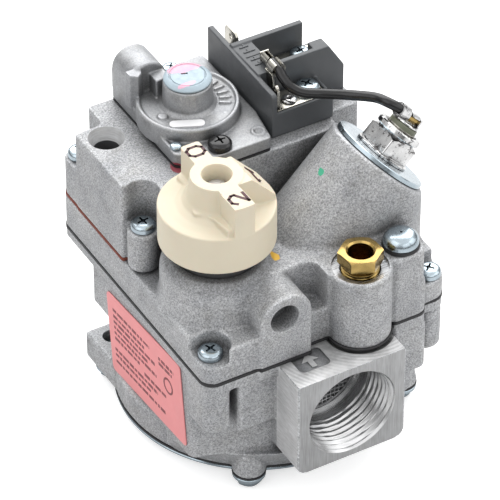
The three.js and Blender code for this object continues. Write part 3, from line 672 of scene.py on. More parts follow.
# ---- shared outlines
def seam(inset=0.0):
    """Outline of the flanges where the two main castings meet."""
    left, right, front = LEFT + inset, RIGHT - inset, FRONT + inset
    outline = [[left, REAR - inset, 3], [left, front, 4], [-22.4, front, 0.2], [-22.1, front - 0.8, 0.2]]
    outline += [[-7, front - 0.8, 0.5], [-6.6, front + 2, 0.4], [16.4, front + 2, 0.4]]
    outline += [[16.8, front - 2.2, 1.2], [27 - inset, front - 2.2, 3], [27.6, front + 0.8, 1]]
    return outline + [[right, front + 0.8, 4], [right, REAR - inset, 3]]


def block_ear(out=0.0):
    """Outline of the regulator casting's screw ear at its rear left corner."""
    return [[-37.4 - out, 25, 0.5], [-28, 25], [-28, 34.8 + out], [-37.4 - out, 34.8 + out, 2.5]]


BLOCK = [[-29.2, REAR, 0.8], [-29.2, 26.9, 1.5], [LEFT, 26.3, 0.6], [LEFT, 1.1, 0.8], [-32.2, 0.5, 2]]
BLOCK += [[-30, -2.8, 1.5], [-30, -5.2, 0.6], [24, -5.2, 0.6], [24, 1.2, 1.5], [34, 1.2, 1.2], [34, REAR, 2]]
COVER = [[-22, REAR - 0.4, 0.8], [-22, 1, 1.5], [-15, -5.3, 2], [3.3, -5.3, 1], [5.4, 6, 1]]
COVER += [[5.4, REAR - 0.4, 1]]


# ---- lower casting
PITCH, THREAD_DEPTH = 1.814, 16.5
PAD_TOP = -0.5


def threaded_bore(face, direction):
    """Cutter for a tapered pipe thread that opens at y = face and runs inward."""
    height, taper, count, rows_per_turn = 0.95, 1 / 32, 96, 8
    bm = bmesh.new()
    rings = []
    for i in range(-rows_per_turn, int(THREAD_DEPTH / PITCH * rows_per_turn) + 1):
        inward = i * PITCH / rows_per_turn
        fade = min(1.0, max(0.0, (THREAD_DEPTH - inward) / (3 * PITCH)))
        lead_in = 0.9 * max(0.0, 1 - max(inward, 0) / 1.4)
        ring = []
        for k in range(count):
            turn = (inward / PITCH + k / count) % 1.0
            tooth = 1 - abs(2 * turn - 1)
            r = max(PORT_R - inward * taper + height * tooth * fade, PORT_R + lead_in)
            a = 2 * math.pi * k / count
            y = face + direction * inward
            ring.append(bm.verts.new((PORT_X + r * math.cos(a), y, PORT_Z + r * math.sin(a))))
        rings.append(ring)
    join_rings(bm, rings)
    return made("thread", bm)


def lower_casting():
    wall_top, rib_back = -2.6, -32
    walls = [[-37, 11.5, 1.5], [-37, -33.4, 2.4], [-32.8, -34.4, 1.2], [-17, -40.4, 0.5], [15.3, -41, 0.5]]
    walls += [[27.8, -38, 3], [33, -30, 5], [33, 22, 5], [24, 30, 3], [-17, 33, 1], [-27, 27, 3]]
    walls += [[-30, 11.5, 1]]
    port_side = [[-17.1, -30.3, 3], [15.3, -30.3, 3], [15.3, 0.4, 1.2], [-17.1, 0.4, 1.2]]
    shoulder = bar(RIM_R, SHELL_BOTTOM, LEDGE_Z, *SEAT, top=LEDGE_R, count=128)
    boolean(shoulder, "INTERSECT", box(-37, 33, -60, -20, SHELL_BOTTOM - 1, LEDGE_Z + 1))
    corner_rib = [[-37.5, FRONT, 4], [-30.5, FRONT, 1.2], [-30.5, rib_back], [-37.5, rib_back]]
    inner_rib = [[-28.3, FRONT, 1.2], [-16.5, FRONT], [-16.5, rib_back], [-28.3, rib_back]]
    adds = [
        prism(seam(), -LIP, 0.4),
        prism(walls, LEDGE_Z - 0.3, wall_top),
        box(-37, -29, 10, 20, -16.5, wall_top, 0.8),
        bar(RIM_R, SHELL_BOTTOM, LEDGE_Z, *SEAT, edge=0.4, count=128),
        shoulder,
        box(-37, -24, -6, 25.4, SHELL_BOTTOM, LEDGE_Z, 0.8),
        prism_y(port_side, INLET_FACE, -37),
        prism_y(port_side, 29, OUTLET_FACE),
        prism(corner_rib, -16.5, 0.4, 1.6),
        prism(inner_rib, -19.0, 0.4, 1.6),
        box(16.8, 27.4, -45.3, -37, -19, wall_top, 1.5),
        bar(4.0, -17, wall_top, 31.1, -38.4, edge=1.5),
    ]
    adds += [bar(4.6, SHELL_BOTTOM, LEDGE_Z, x, y, edge=0.3, top=3.2) for x, y in COVER_SCREWS]
    pilot_relief = bar(9.4, -1.0, 3, *PILOT)
    sunk_pad = prism(oblong(-13.3, -4.2, -49.6, -42.2, 1.5), PAD_TOP, 2)
    cuts = [
        slab(0, 9),
        box(-FAR, FAR, INLET_FACE - 9, INLET_FACE, -FAR, FAR),
        box(-FAR, FAR, OUTLET_FACE, OUTLET_FACE + 9, -FAR, FAR),
        slab(-FAR, SHELL_BOTTOM),
        threaded_bore(INLET_FACE, 1),
        threaded_bore(OUTLET_FACE, -1),
        bar_y(11.2, INLET_FACE + 4, -33, PORT_X, PORT_Z),
        bar_y(11.2, 2, OUTLET_FACE - 4, PORT_X, PORT_Z),
        bar(31, SHELL_BOTTOM - 1, -33, *SEAT),
        pilot_relief,
        sunk_pad,
        bar(6.0, -3.6, 2, *COCK),
        box(-27.5, 3, -22.8, -18.8, -9, 2),
        bar(2.5, -44, -20, *COVER_SCREWS[0]),
    ]
    body = casting(adds, [], cuts)
    arrow = [[-8.75, -43.4], [-11.2, -46.0], [-9.5, -46.0], [-9.5, -48.6]]
    arrow += [[-8.0, -48.6], [-8.0, -46.0], [-6.3, -46.0]]
    joined(body, prism(arrow, PAD_TOP - 0.2, -0.12))

    def pick(face):
        n, c = face.normal, face.center
        if abs(n.y) > 0.98 and (c.y < INLET_FACE + 0.05 or c.y > OUTLET_FACE - 0.05):
            return 1
        if math.hypot(c.x - PORT_X, c.z - PORT_Z) < PORT_R + 1.2 and (c.y < -33 or c.y > 30):
            return 2
        in_pad = -13.6 < c.x < -3.9 and -49.9 < c.y < -41.9
        if in_pad and PAD_TOP - 0.05 < c.z < PAD_TOP + 0.06:
            return 5
        if n.z > 0.98 and c.z > -1.2:
            return 3
        if n.x < -0.9 and c.y < -43.5 and c.x < -16:
            return 4
        if c.z < LEDGE_Z - 1 and c.y < -33 and c.x < -33:
            return 4
        return 0

    materials = [CAST, CUT_FACE, CUT_BORE, CUT_TOP, CUT_SIDE, CAST_COVER]
    shown(body, materials, "lower_casting", "cast_aluminium", ["lower_body"], pick=pick)


# ---- upper casting
def magnet_boss():
    """Sloping round boss with an upright skirt under its rim."""
    skirt = bar(MAGNET_R, -2, 52, count=96)
    skirt.data.transform(moved(MAGNET_RIM.x, MAGNET_RIM.y) @ Matrix.Diagonal((math.sqrt(0.5), 1, 1, 1)))
    cut(skirt, box(-40, 40, -40, 40, 0, 60, matrix=SLOPE), box(-80, 80, -80, 80, -9, FLANGE_BOTTOM))
    return [skirt, bar(MAGNET_R, -34, 0, matrix=SLOPE, count=96)]


def upper_casting():
    x, y = COCK
    deck = [[-14, -34, 1], [-1, -34, 3], [-1, -42, 1], [27, -42, 1], [27, -6, 1], [-14, -6, 1]]
    arch = [[-22, FLANGE_BOTTOM], [-7, FLANGE_BOTTOM], [-7, 21.8, 6.8], [-22, 21.8, 6.8]]
    plug_boss = [[16.8, -45.3, 1.4], [27, -45.3, 3], [27, -36, 1], [16.8, -36, 1]]
    screw_ear = [[26, -43, 1], [RIGHT, -42.2, 4], [RIGHT, -30, 2], [26, -30, 1]]
    tower = [(0, 9), (16.5, 9), (15.6, 11.5), (15.0, 14), (14.9, 20.5), (14.2, 22.6), (12.9, 24.0)]
    tower += [(11.5, 24.4), (0, 24.4)]
    adds = [
        prism(seam(), FLANGE_BOTTOM, FLANGE_TOP),
        prism(deck, FLANGE_TOP - 1, DECK_TOP),
        turned(tower, x, y, 96),
        prism_y(arch, FRONT - 0.8, -33),
        bar(8.4, FLANGE_BOTTOM, DECK_TOP, *PILOT, edge=0.4),
        prism(plug_boss, FLANGE_BOTTOM, DECK_TOP - 0.2),
        prism(screw_ear, FLANGE_BOTTOM, 7),
        *magnet_boss(),
    ]
    cast_cuts = [
        bar(4.9, 6, 30, -33.4, -38.6),
        box(-42, -33.4, -46, -33.9, 6, 30),
        prism([[27.5, -48], [42, -48], [42, -34.6], [27.5, -34.6, 2]], 7, 30),
    ]
    cuts = [
        slab(-9, 1),
        bar(11.3, 22.2, 30, x, y),
        bar(9.8, 1.8, 22.6, x, y),
        bar(6.0, -1, 2.0, x, y),
        bar(7.5, DECK_TOP - 0.9, DECK_TOP + 3, *PILOT),
        bar(5.4, 11, DECK_TOP + 3, *PILOT, count=48),
        bar(2.7, 9, DECK_TOP + 3, *PLUG, count=32),
        bar_y(4.1, FRONT - 3, FRONT + 5, *FRONT_HOLE, count=48),
        bar_y(4.9, FRONT - 3, FRONT - 0.4, *FRONT_HOLE, top=4.1, count=48),
        bar(10.3, -26, 1, matrix=SLOPE),
    ]
    body = casting(adds, cast_cuts, cuts)

    def pick(face):
        n, c = face.normal, face.center
        in_pilot = math.hypot(c.x - PILOT[0], c.y - PILOT[1]) < 7.4 and 10.5 < c.z < DECK_TOP - 0.1
        return int(in_pilot or (n.z < -0.9 and c.z < 1.1))

    shown(body, [CAST_UPPER, CUT_BORE], "upper_casting", "cast_aluminium", ["upper_body"], pick=pick)


# ---- regulator casting and cover
def regulator_casting():
    ear_top = 23.7
    adds = [
        prism(BLOCK, BLOCK_BOTTOM - 0.4, BLOCK_TOP),
        bar(4.2, BLOCK_BOTTOM - 0.4, ear_top, *BODY_SCREWS[1][:2], edge=0.3),
        prism(block_ear(), BLOCK_BOTTOM - 0.4, ear_top),
    ]
    cast_cuts = [
        prism([[26.4, 26.9, 2], [40, 26.9], [40, 40], [26.4, 40]], ear_top, 50),
        bar(4.6, ear_top + 0.2, 60, *BODY_SCREWS[1][:2]),
    ]
    cuts = [
        slab(0, BLOCK_BOTTOM),
        bar(3.6, 32.4, BLOCK_TOP + 0.1, *TAPPED_HOLE, top=4.95),
        bar(3.5, 24, 60, *TAPPED_HOLE),
    ]
    body = casting(adds, cast_cuts, cuts)

    def pick(face):
        c = face.center
        from_axis = math.hypot(c.x - TAPPED_HOLE[0], c.y - TAPPED_HOLE[1])
        # the tapped hole's inside below its countersink gets painted shade
        if from_axis < 3.62 and c.z < 32.5:
            return 2
        return int(from_axis < 5.0 and 32.3 < c.z < BLOCK_TOP - 0.02)

    materials = [CAST_BLOCK, CUT_SIDE, SHADE_BLACK]
    shown(body, materials, "regulator_casting", "cast_aluminium", ["regulator_block"], pick=pick)


def regulator_cover():
    x, y = REGULATOR
    ring = [(4.7, 38), (13.6, 38), (13.6, 43.9), (13.3, 44.35), (12.7, 44.35), (12.2, 43.5), (7.7, 43.3)]
    ring += [(6.7, 44.4), (6.5, 50.2), (6.1, 50.6), (4.7, 50.6)]
    bridge = [[-22.6, 26], [-22.4, 23.6, 0.3], [-20.6, 22.2, 0.3], [-18.8, 23.6, 0.3], [-18.8, 26]]
    adds = [
        prism(COVER, COVER_BOTTOM, COVER_TOP, 0.3),
        turned(ring, x, y, 96),
        bar_y(5.5, 24.6, 34.6, *VENT, edge=0.4),
        box(-22, -11, 24.6, 34.6, 40, VENT[1], 0.3),
        box(-16.2, -11.9, 20.6, 27, 41, 48.9, 0.35),
        prism(bridge, 40, 50.9, 0.2),
        box(-21.9, -21.0, 3, 24, COVER_TOP - 0.2, COVER_TOP + 0.5, 0.2),
        bar(1.3, 43, 44.1, -18.9, 12.6, edge=0.2),
        turned([(1.3, 40), (1.9, 40), (1.9, COVER_TOP + 0.4), (1.3, COVER_TOP + 0.4)], 1.6, -1.6, 32),
    ]
    for degrees in range(-34, 46, 13):
        adds.append(box(8.3, 11.2, -0.35, 0.35, 43, 44.0, 0.1, moved(x, y) @ rotated(degrees)))
    cuts = [
        slab(20, COVER_BOTTOM),
        bar_y(2.2, 27, 60, *VENT, count=40),
        bar(4.7, 30, 60, x, y, count=48),
    ]
    body = casting(adds, [], cuts, FINE_SKIN, 1)
    sticker = prism(oblong(-4.6, 4.6, -1.35, 1.35, 1.2), 43.3, 43.75, 0.08, moved(-14.7, 7.0) @ rotated(-25))
    body, pick = marked(body, [sticker])
    name = "regulator_cover_casting"
    shown(body, [CAST_COVER, STICKER], name, "cast_aluminium", ["regulator_cover"], pick=pick)


# ---- knob
KNOB_FOOT, KNOB_ROOT, SKIRT_TOP, KNOB_TOP, KNOB_R = 29.0, 38, 40.3, 49.5, 15.3


def stroke(points, width, z0, z1, closed):
    """Flat strip of constant width along a run of points, standing from z0 to z1."""
    pieces = []
    runs = list(zip(points, points[1:])) + ([(points[-1], points[0])] if closed else [])
    for a, b in runs:
        along = (b - a).normalized()
        side = Vector((-along.y, along.x)) * width / 2
        over = along * width * 0.35
        corners = [a - over - side, b + over - side, b + over + side, a - over + side]
        pieces.append(prism([[c.x, c.y] for c in corners], z0, z1))
    return pieces


def dial_figure(kind, height, width, matrix):
    """Strokes of a plain dial numeral, drawn upright round the origin and then placed."""
    figures = {
        0: [(-1, -0.5), (-0.5, -1), (0.5, -1), (1, -0.5), (1, 0.5), (0.5, 1), (-0.5, 1), (-1, 0.5)],
        1: [(-0.7, 0.5), (0, 1), (0, -1), (-0.7, -1), (0.7, -1)],
        2: [(-1, 0.5), (-0.5, 1), (0.5, 1), (1, 0.5), (1, 0.1), (-1, -1), (1, -1)],
    }
    points = [Vector((u * width / 2, v * height / 2)) for u, v in figures[kind]]
    parts = stroke(points, 0.8, -0.1, 0.07, kind == 0)
    for part in parts:
        part.data.transform(matrix)
    return parts


def knob_parts():
    x, y = COCK
    skirt = [(0, KNOB_FOOT), (14.9, KNOB_FOOT), (KNOB_R, KNOB_FOOT + 0.5), (KNOB_R, SKIRT_TOP - 0.3)]
    skirt += [(15.05, SKIRT_TOP), (0, SKIRT_TOP)]
    flare = [(0, KNOB_ROOT), (13.6, 40.2), (10.6, 40.7), (8.9, 41.6), (7.9, 43.2), (7.3, 45.6), (7.0, 48.3)]
    flare += [(6.85, KNOB_TOP), (0, KNOB_TOP)]
    left, right = x - 3.2, x + 2.5
    wing = [[x - 2.7, y + 14.1, 0.5], [left, y - 14.9], [right, y - 14.9], [x + 2.6, y + 14.1, 0.5]]
    wing_foot = [[x - 4.6, y + 14.2, 2], [left, y - 13.5, 1], [right, y - 13.5, 1], [x + 4.4, y + 14.2, 2]]
    crest = [[-22, -21], [-30.4, -22.3, 2], [-30.6, -25.0, 1.2], [-28.3, -26.8, 2], [-27.3, -29.6, 2]]
    crest += [[-26.6, -35.2, 0.4], [-22, -35.4]]
    slant = [[x - 2, KNOB_ROOT], [x - 2, KNOB_TOP - 0.3], [x + 6.8, KNOB_TOP - 0.3]]
    slant += [[x + 15.4, SKIRT_TOP - 0.4], [x + 15.4, KNOB_ROOT]]
    wedge = boolean(prism_y(slant, y - 6.3, y + 4.9), "INTERSECT", bar(KNOB_R - 0.3, 36, 52, x, y))
    adds = [
        turned(skirt, x, y, 128),
        turned(flare, x, y, 96),
        prism(wing, KNOB_ROOT, KNOB_TOP),
        prism(wing_foot, KNOB_ROOT, 41.6, 0.8),
        prism(crest, 39, 42.5, 0.3),
        wedge,
    ]
    body = skinned(merged(adds), FINE_SKIN, 1)
    end_face = prism(oblong(left, right, y - 16, y - 8), 37, KNOB_TOP - 0.05)
    boolean(end_face, "INTERSECT", bar(KNOB_R - 0.05, 36, 52, x, y, count=160))
    joined(body, end_face)
    bore = 3.75
    cut(
        body,
        bar(13.3, 27, 37.6, x, y),
        bar(2.9, 40.5, 46.6, x, y, top=bore, count=64),
        bar(bore, 46.5, 53, x, y, count=64),
        bar(bore, KNOB_TOP - 0.5, KNOB_TOP + 0.3, x, y, top=4.3, count=64),
        bar(2.7, 30, 41, x, y, count=48),
    )
    figures = dial_figure(0, 4.4, 3.6, moved(x - 0.1, y + 10.6, KNOB_TOP) @ rotated(90))
    figures += dial_figure(2, 4.4, 3.6, moved(x - 0.3, y - 11.4, KNOB_TOP) @ rotated(90))
    figures += dial_figure(1, 5.0, 4.2, moved(x + 10.1, y - 1.4, 45.95) @ rotated(46.2, "Y") @ rotated(180))
    whole, pick = marked(body, figures)
    shown(whole, [IVORY, KNOB_INK], "control_knob", "ivory_plastic", ["knob"], "knob", 40, pick)


# ---- screws
def dome(r, height, seat):
    """Profile of a low domed head, from its seat to the crown."""
    steps, power = 10, 3.4
    profile = []
    for k in range(steps, -1, -1):
        out = math.sin(math.pi / 2 * k / steps)
        profile.append((r * out, seat + height * (1 - out**power) ** 0.6))
    return profile


def cross_head(name, place, seat, r, node, tip, shank, spin=0, dot=False, black=False, side=0.5, tall=0.72):
    """Pan head with a cross recess or a small dot, on its shank; side is the upright share of its height."""
    x, y = place
    height = r * tall
    side *= height
    profile = [(0, seat), (r * 0.95, seat), (r, seat + 0.12), (r, seat + side)]
    head = turned(profile + dome(r, height - side, seat + side)[1:], x, y, 64)
    top = seat + height + 0.1
    if dot:
        cut(head, bar(r * 0.07, seat + height * 0.6, top + 1, x, y, count=24))
    else:
        arm, thick, depth = r * 0.5, r * 0.085, height * 0.42
        turn = moved(x, y) @ rotated(spin)
        cut(
            head,
            box(-arm, arm, -thick, thick, top - depth, top + 1, matrix=turn),
            box(-thick, thick, -arm, arm, top - depth, top + 1, matrix=turn),
            bar(r * 0.14, top - depth * 1.2, top + 0.5, top=r * 0.34, count=4, matrix=turn),
        )
    whole = merged([head, bar(shank, tip, seat + 0.1, x, y, count=24)])
    material, slot = (BLACK, "grey_plastic") if black else (ZINC, "zinc_steel")
    shown(whole, [material], name, slot, [node], angle=32)


def screws():
    spins, tips = (20, 8, 30, 40, 15), (-11, -11, -2.4, -11, -2.4)
    for i, (x, y, seat) in enumerate(BODY_SCREWS):
        name, node = f"body_screw_head_{i + 1}", f"body_screw_{i + 1}"
        cross_head(name, (x, y), seat + 0.1, 3.3, node, tips[i], 1.6, spins[i])
    for i, (x, y, r) in enumerate(REGULATOR_SCREWS):
        name, node = f"regulator_screw_head_{i + 1}", f"regulator_screw_{i + 1}"
        cross_head(name, (x, y), COVER_TOP + 0.05, r, node, 32, r * 0.5, 25 * i, dot=i == 1, black=i == 0)
    seat, tip = PLATE_TOP + 0.05, 38.5
    cross_head("terminal_screw_head_front", FRONT_TERMINAL, seat, 3.3, "terminal_screw_front", tip, 1.8, 35)
    cross_head("terminal_screw_head_rear", REAR_TERMINAL, seat, 2.9, "terminal_screw_rear", tip, 1.8, 10)


# ---- bottom cover and its screws
def bottom_pan():
    low, high = -41.8, -40.75
    profile = [(0, -43.6), (27.6, -43.6), (28.8, -43.3), (30.2, -42.1), (31.0, low), (RIM_R - 0.3, low)]
    profile += [(RIM_R, -41.5), (RIM_R, -41.0), (RIM_R - 0.3, high), (30.6, high), (29.6, -41.1)]
    pan = turned(profile + [(28.2, -42.5), (0, -42.5)], *SEAT, 160)
    joined(pan, *[bar(4.5, low, high, x, y, 0.15, count=48) for x, y in COVER_SCREWS])
    cut(pan, *[bar(2.0, -43, -40, x, y, count=32) for x, y in COVER_SCREWS])
    shown(pan, [ZINC], "bottom_pan", "zinc_steel", ["bottom_cover"])
    for i, (x, y) in enumerate(COVER_SCREWS):
        screw = merged(
            [
                hexagon(6.2, -43.9, -42.4, x, y, 0.1, 13 * i),
                bar(3.9, -42.45, -41.85, x, y, 0.15, count=48),
                bar(1.6, -42.2, -34, x, y, count=24),
            ]
        )
        shown(screw, [ZINC], f"cover_hex_screw_{i + 1}", "zinc_steel", [f"cover_screw_{i + 1}"])


# ---- gaskets
def gaskets():
    low, high = 0.05, 0.97
    lower = prism(seam(-0.12), low, high, 0.25)
    joined(lower, bar(8.75, low, high, *PILOT, edge=0.25))
    cut(lower, bar(14.3, -1, 2, *SEAT), bar(9, -1, 2, *COCK), bar(5.3, -1, 2, 1, -32.5))
    shown(lower, [RUBBER], "casting_gasket", "black_rubber", ["body_gasket"])
    low, high = 11.05, 11.95
    squeezed = joined(prism(BLOCK, low, high), prism(block_ear(0.1), low, high))
    cut(squeezed, bar(9.7, 10, 13, 10, 20))
    shown(squeezed, [FIBRE], "regulator_gasket", "fibre", ["block_gasket"])
    sheet = cut(prism(COVER, 36.1, 36.7), bar(8.3, 35, 38, *REGULATOR))
    shown(sheet, [RUBBER], "regulator_sheet", "black_rubber", ["regulator_diaphragm"])
    low, high = -40.7, -40.05
    disc = bar(RIM_R + 0.1, low, high, *SEAT, edge=0.2, count=160)
    joined(disc, *[bar(4.6, low, high, x, y, 0.2, count=48) for x, y in COVER_SCREWS])
    cut(disc, bar(12.4, -42, -39, *SEAT), *[bar(2, -42, -39, x, y, count=24) for x, y in COVER_SCREWS])
    shown(disc, [RUBBER], "diaphragm_edge", "black_rubber", ["main_diaphragm"])


# ---- pilot outlet and adjustment plug
def pilot_pieces():
    x, y = PILOT
    bore, root, crest = 3.35, 4.55, 5.05
    thread = [(0, 12.5), (4.3, 12.5)]
    for k in range(10):
        z = 13.0 + k * 0.98
        thread += [(root, z), (crest, z + 0.3), (crest, z + 0.45), (root, z + 0.75)]
    thread += [(4.6, 22.9), (5.2, 23.35), (0, 23.4)]
    nut = joined(hexagon(10.5, 23.3, 27.0, x, y, 0.12, 36), turned(thread, x, y, 96))
    mouth = bar(bore, 26.55, 27.1, x, y, top=3.95)
    cut(nut, bar(bore, 15, 30, x, y), mouth, bar(1.2, 10, 16, x, y, count=24))
    shown(nut, [BRASS], "pilot_compression_nut", "brass", ["pilot_nut"], angle=28)
    washer = turned([(2.7, 21.95), (4.9, 21.95), (5.05, 22.4), (4.9, 22.95), (2.7, 22.95)], *PLUG)
    shown(washer, [RUBBER], "plug_seal", "black_rubber", ["plug_washer"])
    r, height = 4.75, 3.3
    tall = height / r
    cross_head("pilot_adjust_plug", PLUG, 23.0, r, "pilot_plug", 16.5, 2.4, dot=True, side=0.2, tall=tall)


# ---- regulator cap
def regulator_cap_piece():
    x, y = REGULATOR
    profile = [(0, 49.4), (4.2, 49.4), (4.2, 50.7), (6.0, 50.7), (6.35, 50.95), (6.3, 51.3), (5.2, 52.1)]
    profile += [(4.95, 52.15), (4.75, 51.95), (4.55, 51.95), (4.4, 52.1), (0, 52.1)]
    cap = turned(profile, x, y, 96)
    cut(cap, box(-0.9, 0.9, -0.3, 0.3, 51.5, 54, 0.1, moved(x - 0.4, y + 1.0) @ rotated(-22)))
    shown(cap, [CAP_ZINC], "regulator_seal_cap", "zinc_steel", ["regulator_cap"])


# ---- magnet unit on the sloping boss
def ring_profile(inner, outer, low, high, edge=0.25):
    """Cross-section of a flat ring whose outer edges are chamfered."""
    profile = [(inner, low), (outer - edge, low), (outer, low + edge)]
    return profile + [(outer, high - edge), (outer - edge, high), (inner, high)]


def on_slope(profile, count=96):
    return turned(profile, count=count, matrix=SLOPE)


def magnet_pieces():
    disc = on_slope(ring_profile(5.6, 13.45, 0.1, 1.5, 0.2), 128)
    shown(disc, [ZINC], "magnet_cover_plate", "zinc_steel", ["magnet_plate"])
    body = prism(oblong(-5.15, 5.15, -5.15, 5.15, 0.5), 2.5, 7.4, matrix=SLOPE)
    boolean(body, "INTERSECT", on_slope([(0, 2.4), (7.0, 2.4), (7.4, 2.9), (7.4, 6.7), (5.9, 7.5), (0, 7.5)]))
    collar = [(0, 7.2), (5.3, 7.2), (5.5, 7.9), (6.3, 8.1), (6.5, 8.4), (6.5, 9.5), (6.2, 9.8), (5.0, 9.8)]
    collar += [(4.8, 9.4), (0, 9.4)]
    foot = [(0, 1.35), (7.3, 1.35), (7.6, 1.6), (7.6, 2.1), (7.2, 2.35), (6.3, 2.4), (6.3, 2.7), (0, 2.7)]
    joined(body, on_slope(collar), on_slope(foot))
    cut(body, bar(4.4, 0, 12, matrix=SLOPE))
    shown(body, [BRIGHT_NICKEL], "power_unit_square_nut", "nickel", ["power_unit_nut"], angle=30)
    barrel = [(0, -9.4), (9.6, -9.4), (9.6, -0.1), (4.2, -0.1), (4.2, 10.2), (2.0, 10.2), (2.0, 12.3)]
    barrel += [(1.5, 12.7), (0, 12.8)]
    shown(on_slope(barrel, 72), [NICKEL], "power_unit_barrel", "nickel", ["magnet_body"])
    seal = on_slope(ring_profile(2.2, 4.05, 9.45, 11.5, 0.2), 72)
    shown(seal, [INSULATOR], "power_unit_insulator", "fibre", ["insulator_washer"])


# ---- wiring: terminal block, plates, lead
def wiring_block():
    floor, ledge, wall_foot, mark_foot = 36.1, 42.3, 41, 50.3
    left = prism_x([[-1.2, floor, 0.3], [33, floor, 0.3], [33, 50.6, 0.8], [-1.2, 49.6, 1.2]], 6, 7.6, 0.25)
    end = [[24.3, floor], [33.1, floor], [33.1, 44.2, 0.4], [28.4, 51.8, 0.5], [24.3, 51.8, 0.3]]
    parts = [left, prism_y(end, 7.8, 12.2, 0.25)]
    walls = [
        (6.4, 24.5, -1.2, 33, floor, ledge),
        (24, 32.2, 7.8, 22.8, floor, ledge),
        (7, 28.4, 21.3, 22.9, wall_foot, 50.9),
        (7, 12.8, 7.8, 22.8, wall_foot, 50.5),
        (12.4, 24.6, 7.8, 9.3, wall_foot, 51.9),
        (7.2, 24.4, -1.2, -0.4, wall_foot, 43.6),
        (23.7, 24.5, -1.2, 8.2, wall_foot, 43.6),
    ]
    parts += [box(*wall, 0.22) for wall in walls]
    body = skinned(merged(parts), 0.2, 1)
    screw_holes = [bar(2.2, 37.5, 44, *FRONT_TERMINAL), bar(2.2, 37.5, 44, *REAR_TERMINAL)]
    cut(body, box(7.9, 12.2, 3, 7.9, 42.6, 52, 0.1), *screw_holes)
    raised = []
    for row, y in enumerate((11.6, 13.9, 17.6, 19.9)):
        raised.append(box(8.4, 11.8 - 0.8 * (row % 2), y, y + 0.45, mark_foot, 50.75, 0.08))
        raised.append(box(9.7, 10.15, y, y + 1.4, mark_foot, 50.72, 0.08))
    raised.append(box(7.9, 12.5, 15.6, 15.9, mark_foot, 50.7, 0.08))
    whole = merged([body] + raised)
    shown(whole, [GREY_PLASTIC], "wiring_block", "grey_plastic", ["terminal_block"], angle=30)


def plates():
    front = box(8.3, 23.4, 0.0, 7.2, PLATE_BOTTOM, PLATE_TOP, 0.12)
    front = merged([front, box(8.3, 9.1, 0.2, 2.6, 42.7, 49.4, 0.12)])
    cut(front, bar(2.1, 42, 44, *FRONT_TERMINAL, count=32))
    eye = turned(ring_profile(0.45, 1.0, 0, 0.9, 0.15), count=32, matrix=moved(8.25, 1.4, 49.6) @ ALONG_X)
    shown(merged([front, eye]), [NICKEL], "front_terminal_plate", "nickel", ["terminal_plate_front"])
    rear = box(13.3, 31, 13.9, 21, PLATE_BOTTOM, PLATE_TOP, 0.12)
    cut(rear, bar(2.1, 42, 44, *REAR_TERMINAL, count=32))
    shown(rear, [NICKEL], "rear_terminal_plate", "nickel", ["terminal_plate_rear"])
    rivet = [(0, PLATE_BOTTOM), (1.1, PLATE_BOTTOM), (1.1, 43.4), (2.1, 43.4), (2.0, 43.9), (1.5, 44.3)]
    rivet = turned(rivet + [(0.6, 44.4), (0, 44.1)], 13.2, 2.6, 48)
    shown(rivet, [BRIGHT_NICKEL], "plate_rivet", "nickel", ["terminal_rivet"])
    tab = [[25.6, PLATE_BOTTOM], [31.9, PLATE_BOTTOM], [31.9, 49.4, 0.9], [31.0, 50.5, 0.5]]
    tab = prism_x(tab + [[26.5, 50.5, 0.5], [25.6, 49.4, 0.9]], 10.6, 11.4, 0.15)
    cut(tab, bar(0.8, -3, 3, matrix=moved(11, 28.7, 48.2) @ ALONG_X, count=24))
    shown(tab, [NICKEL], "push_on_tab", "nickel", ["spade_tab"])


def clamp(axis_matrix, inner, outer, length, gap, height=1.0):
    """Metal band curled round a wire that runs along the matrix's Z, open along one side."""
    bm = bmesh.new()
    steps = 28
    start, end = gap, 2 * math.pi - gap
    rings = []
    for k in range(steps + 1):
        a = start + (end - start) * k / steps
        ring = []
        for r, z in ((inner, 0), (outer, 0), (outer, length), (inner, length)):
            ring.append(bm.verts.new((r * math.cos(a), r * math.sin(a) * height, z)))
        rings.append(ring)
    join_rings(bm, rings)
    ends = [e for e in bm.edges if e.is_boundary or e.calc_face_angle(0) > 0.8]
    bevel(bm, ends, 0.1, 2)
    return made("clamp", bm, axis_matrix)


def aimed(place, along, roll=0.0):
    """Matrix that puts local Z along a direction at a place."""
    turn = Vector(along).normalized().to_track_quat("Z", "Y").to_matrix().to_4x4()
    return Matrix.Translation(place) @ turn @ rotated(roll)


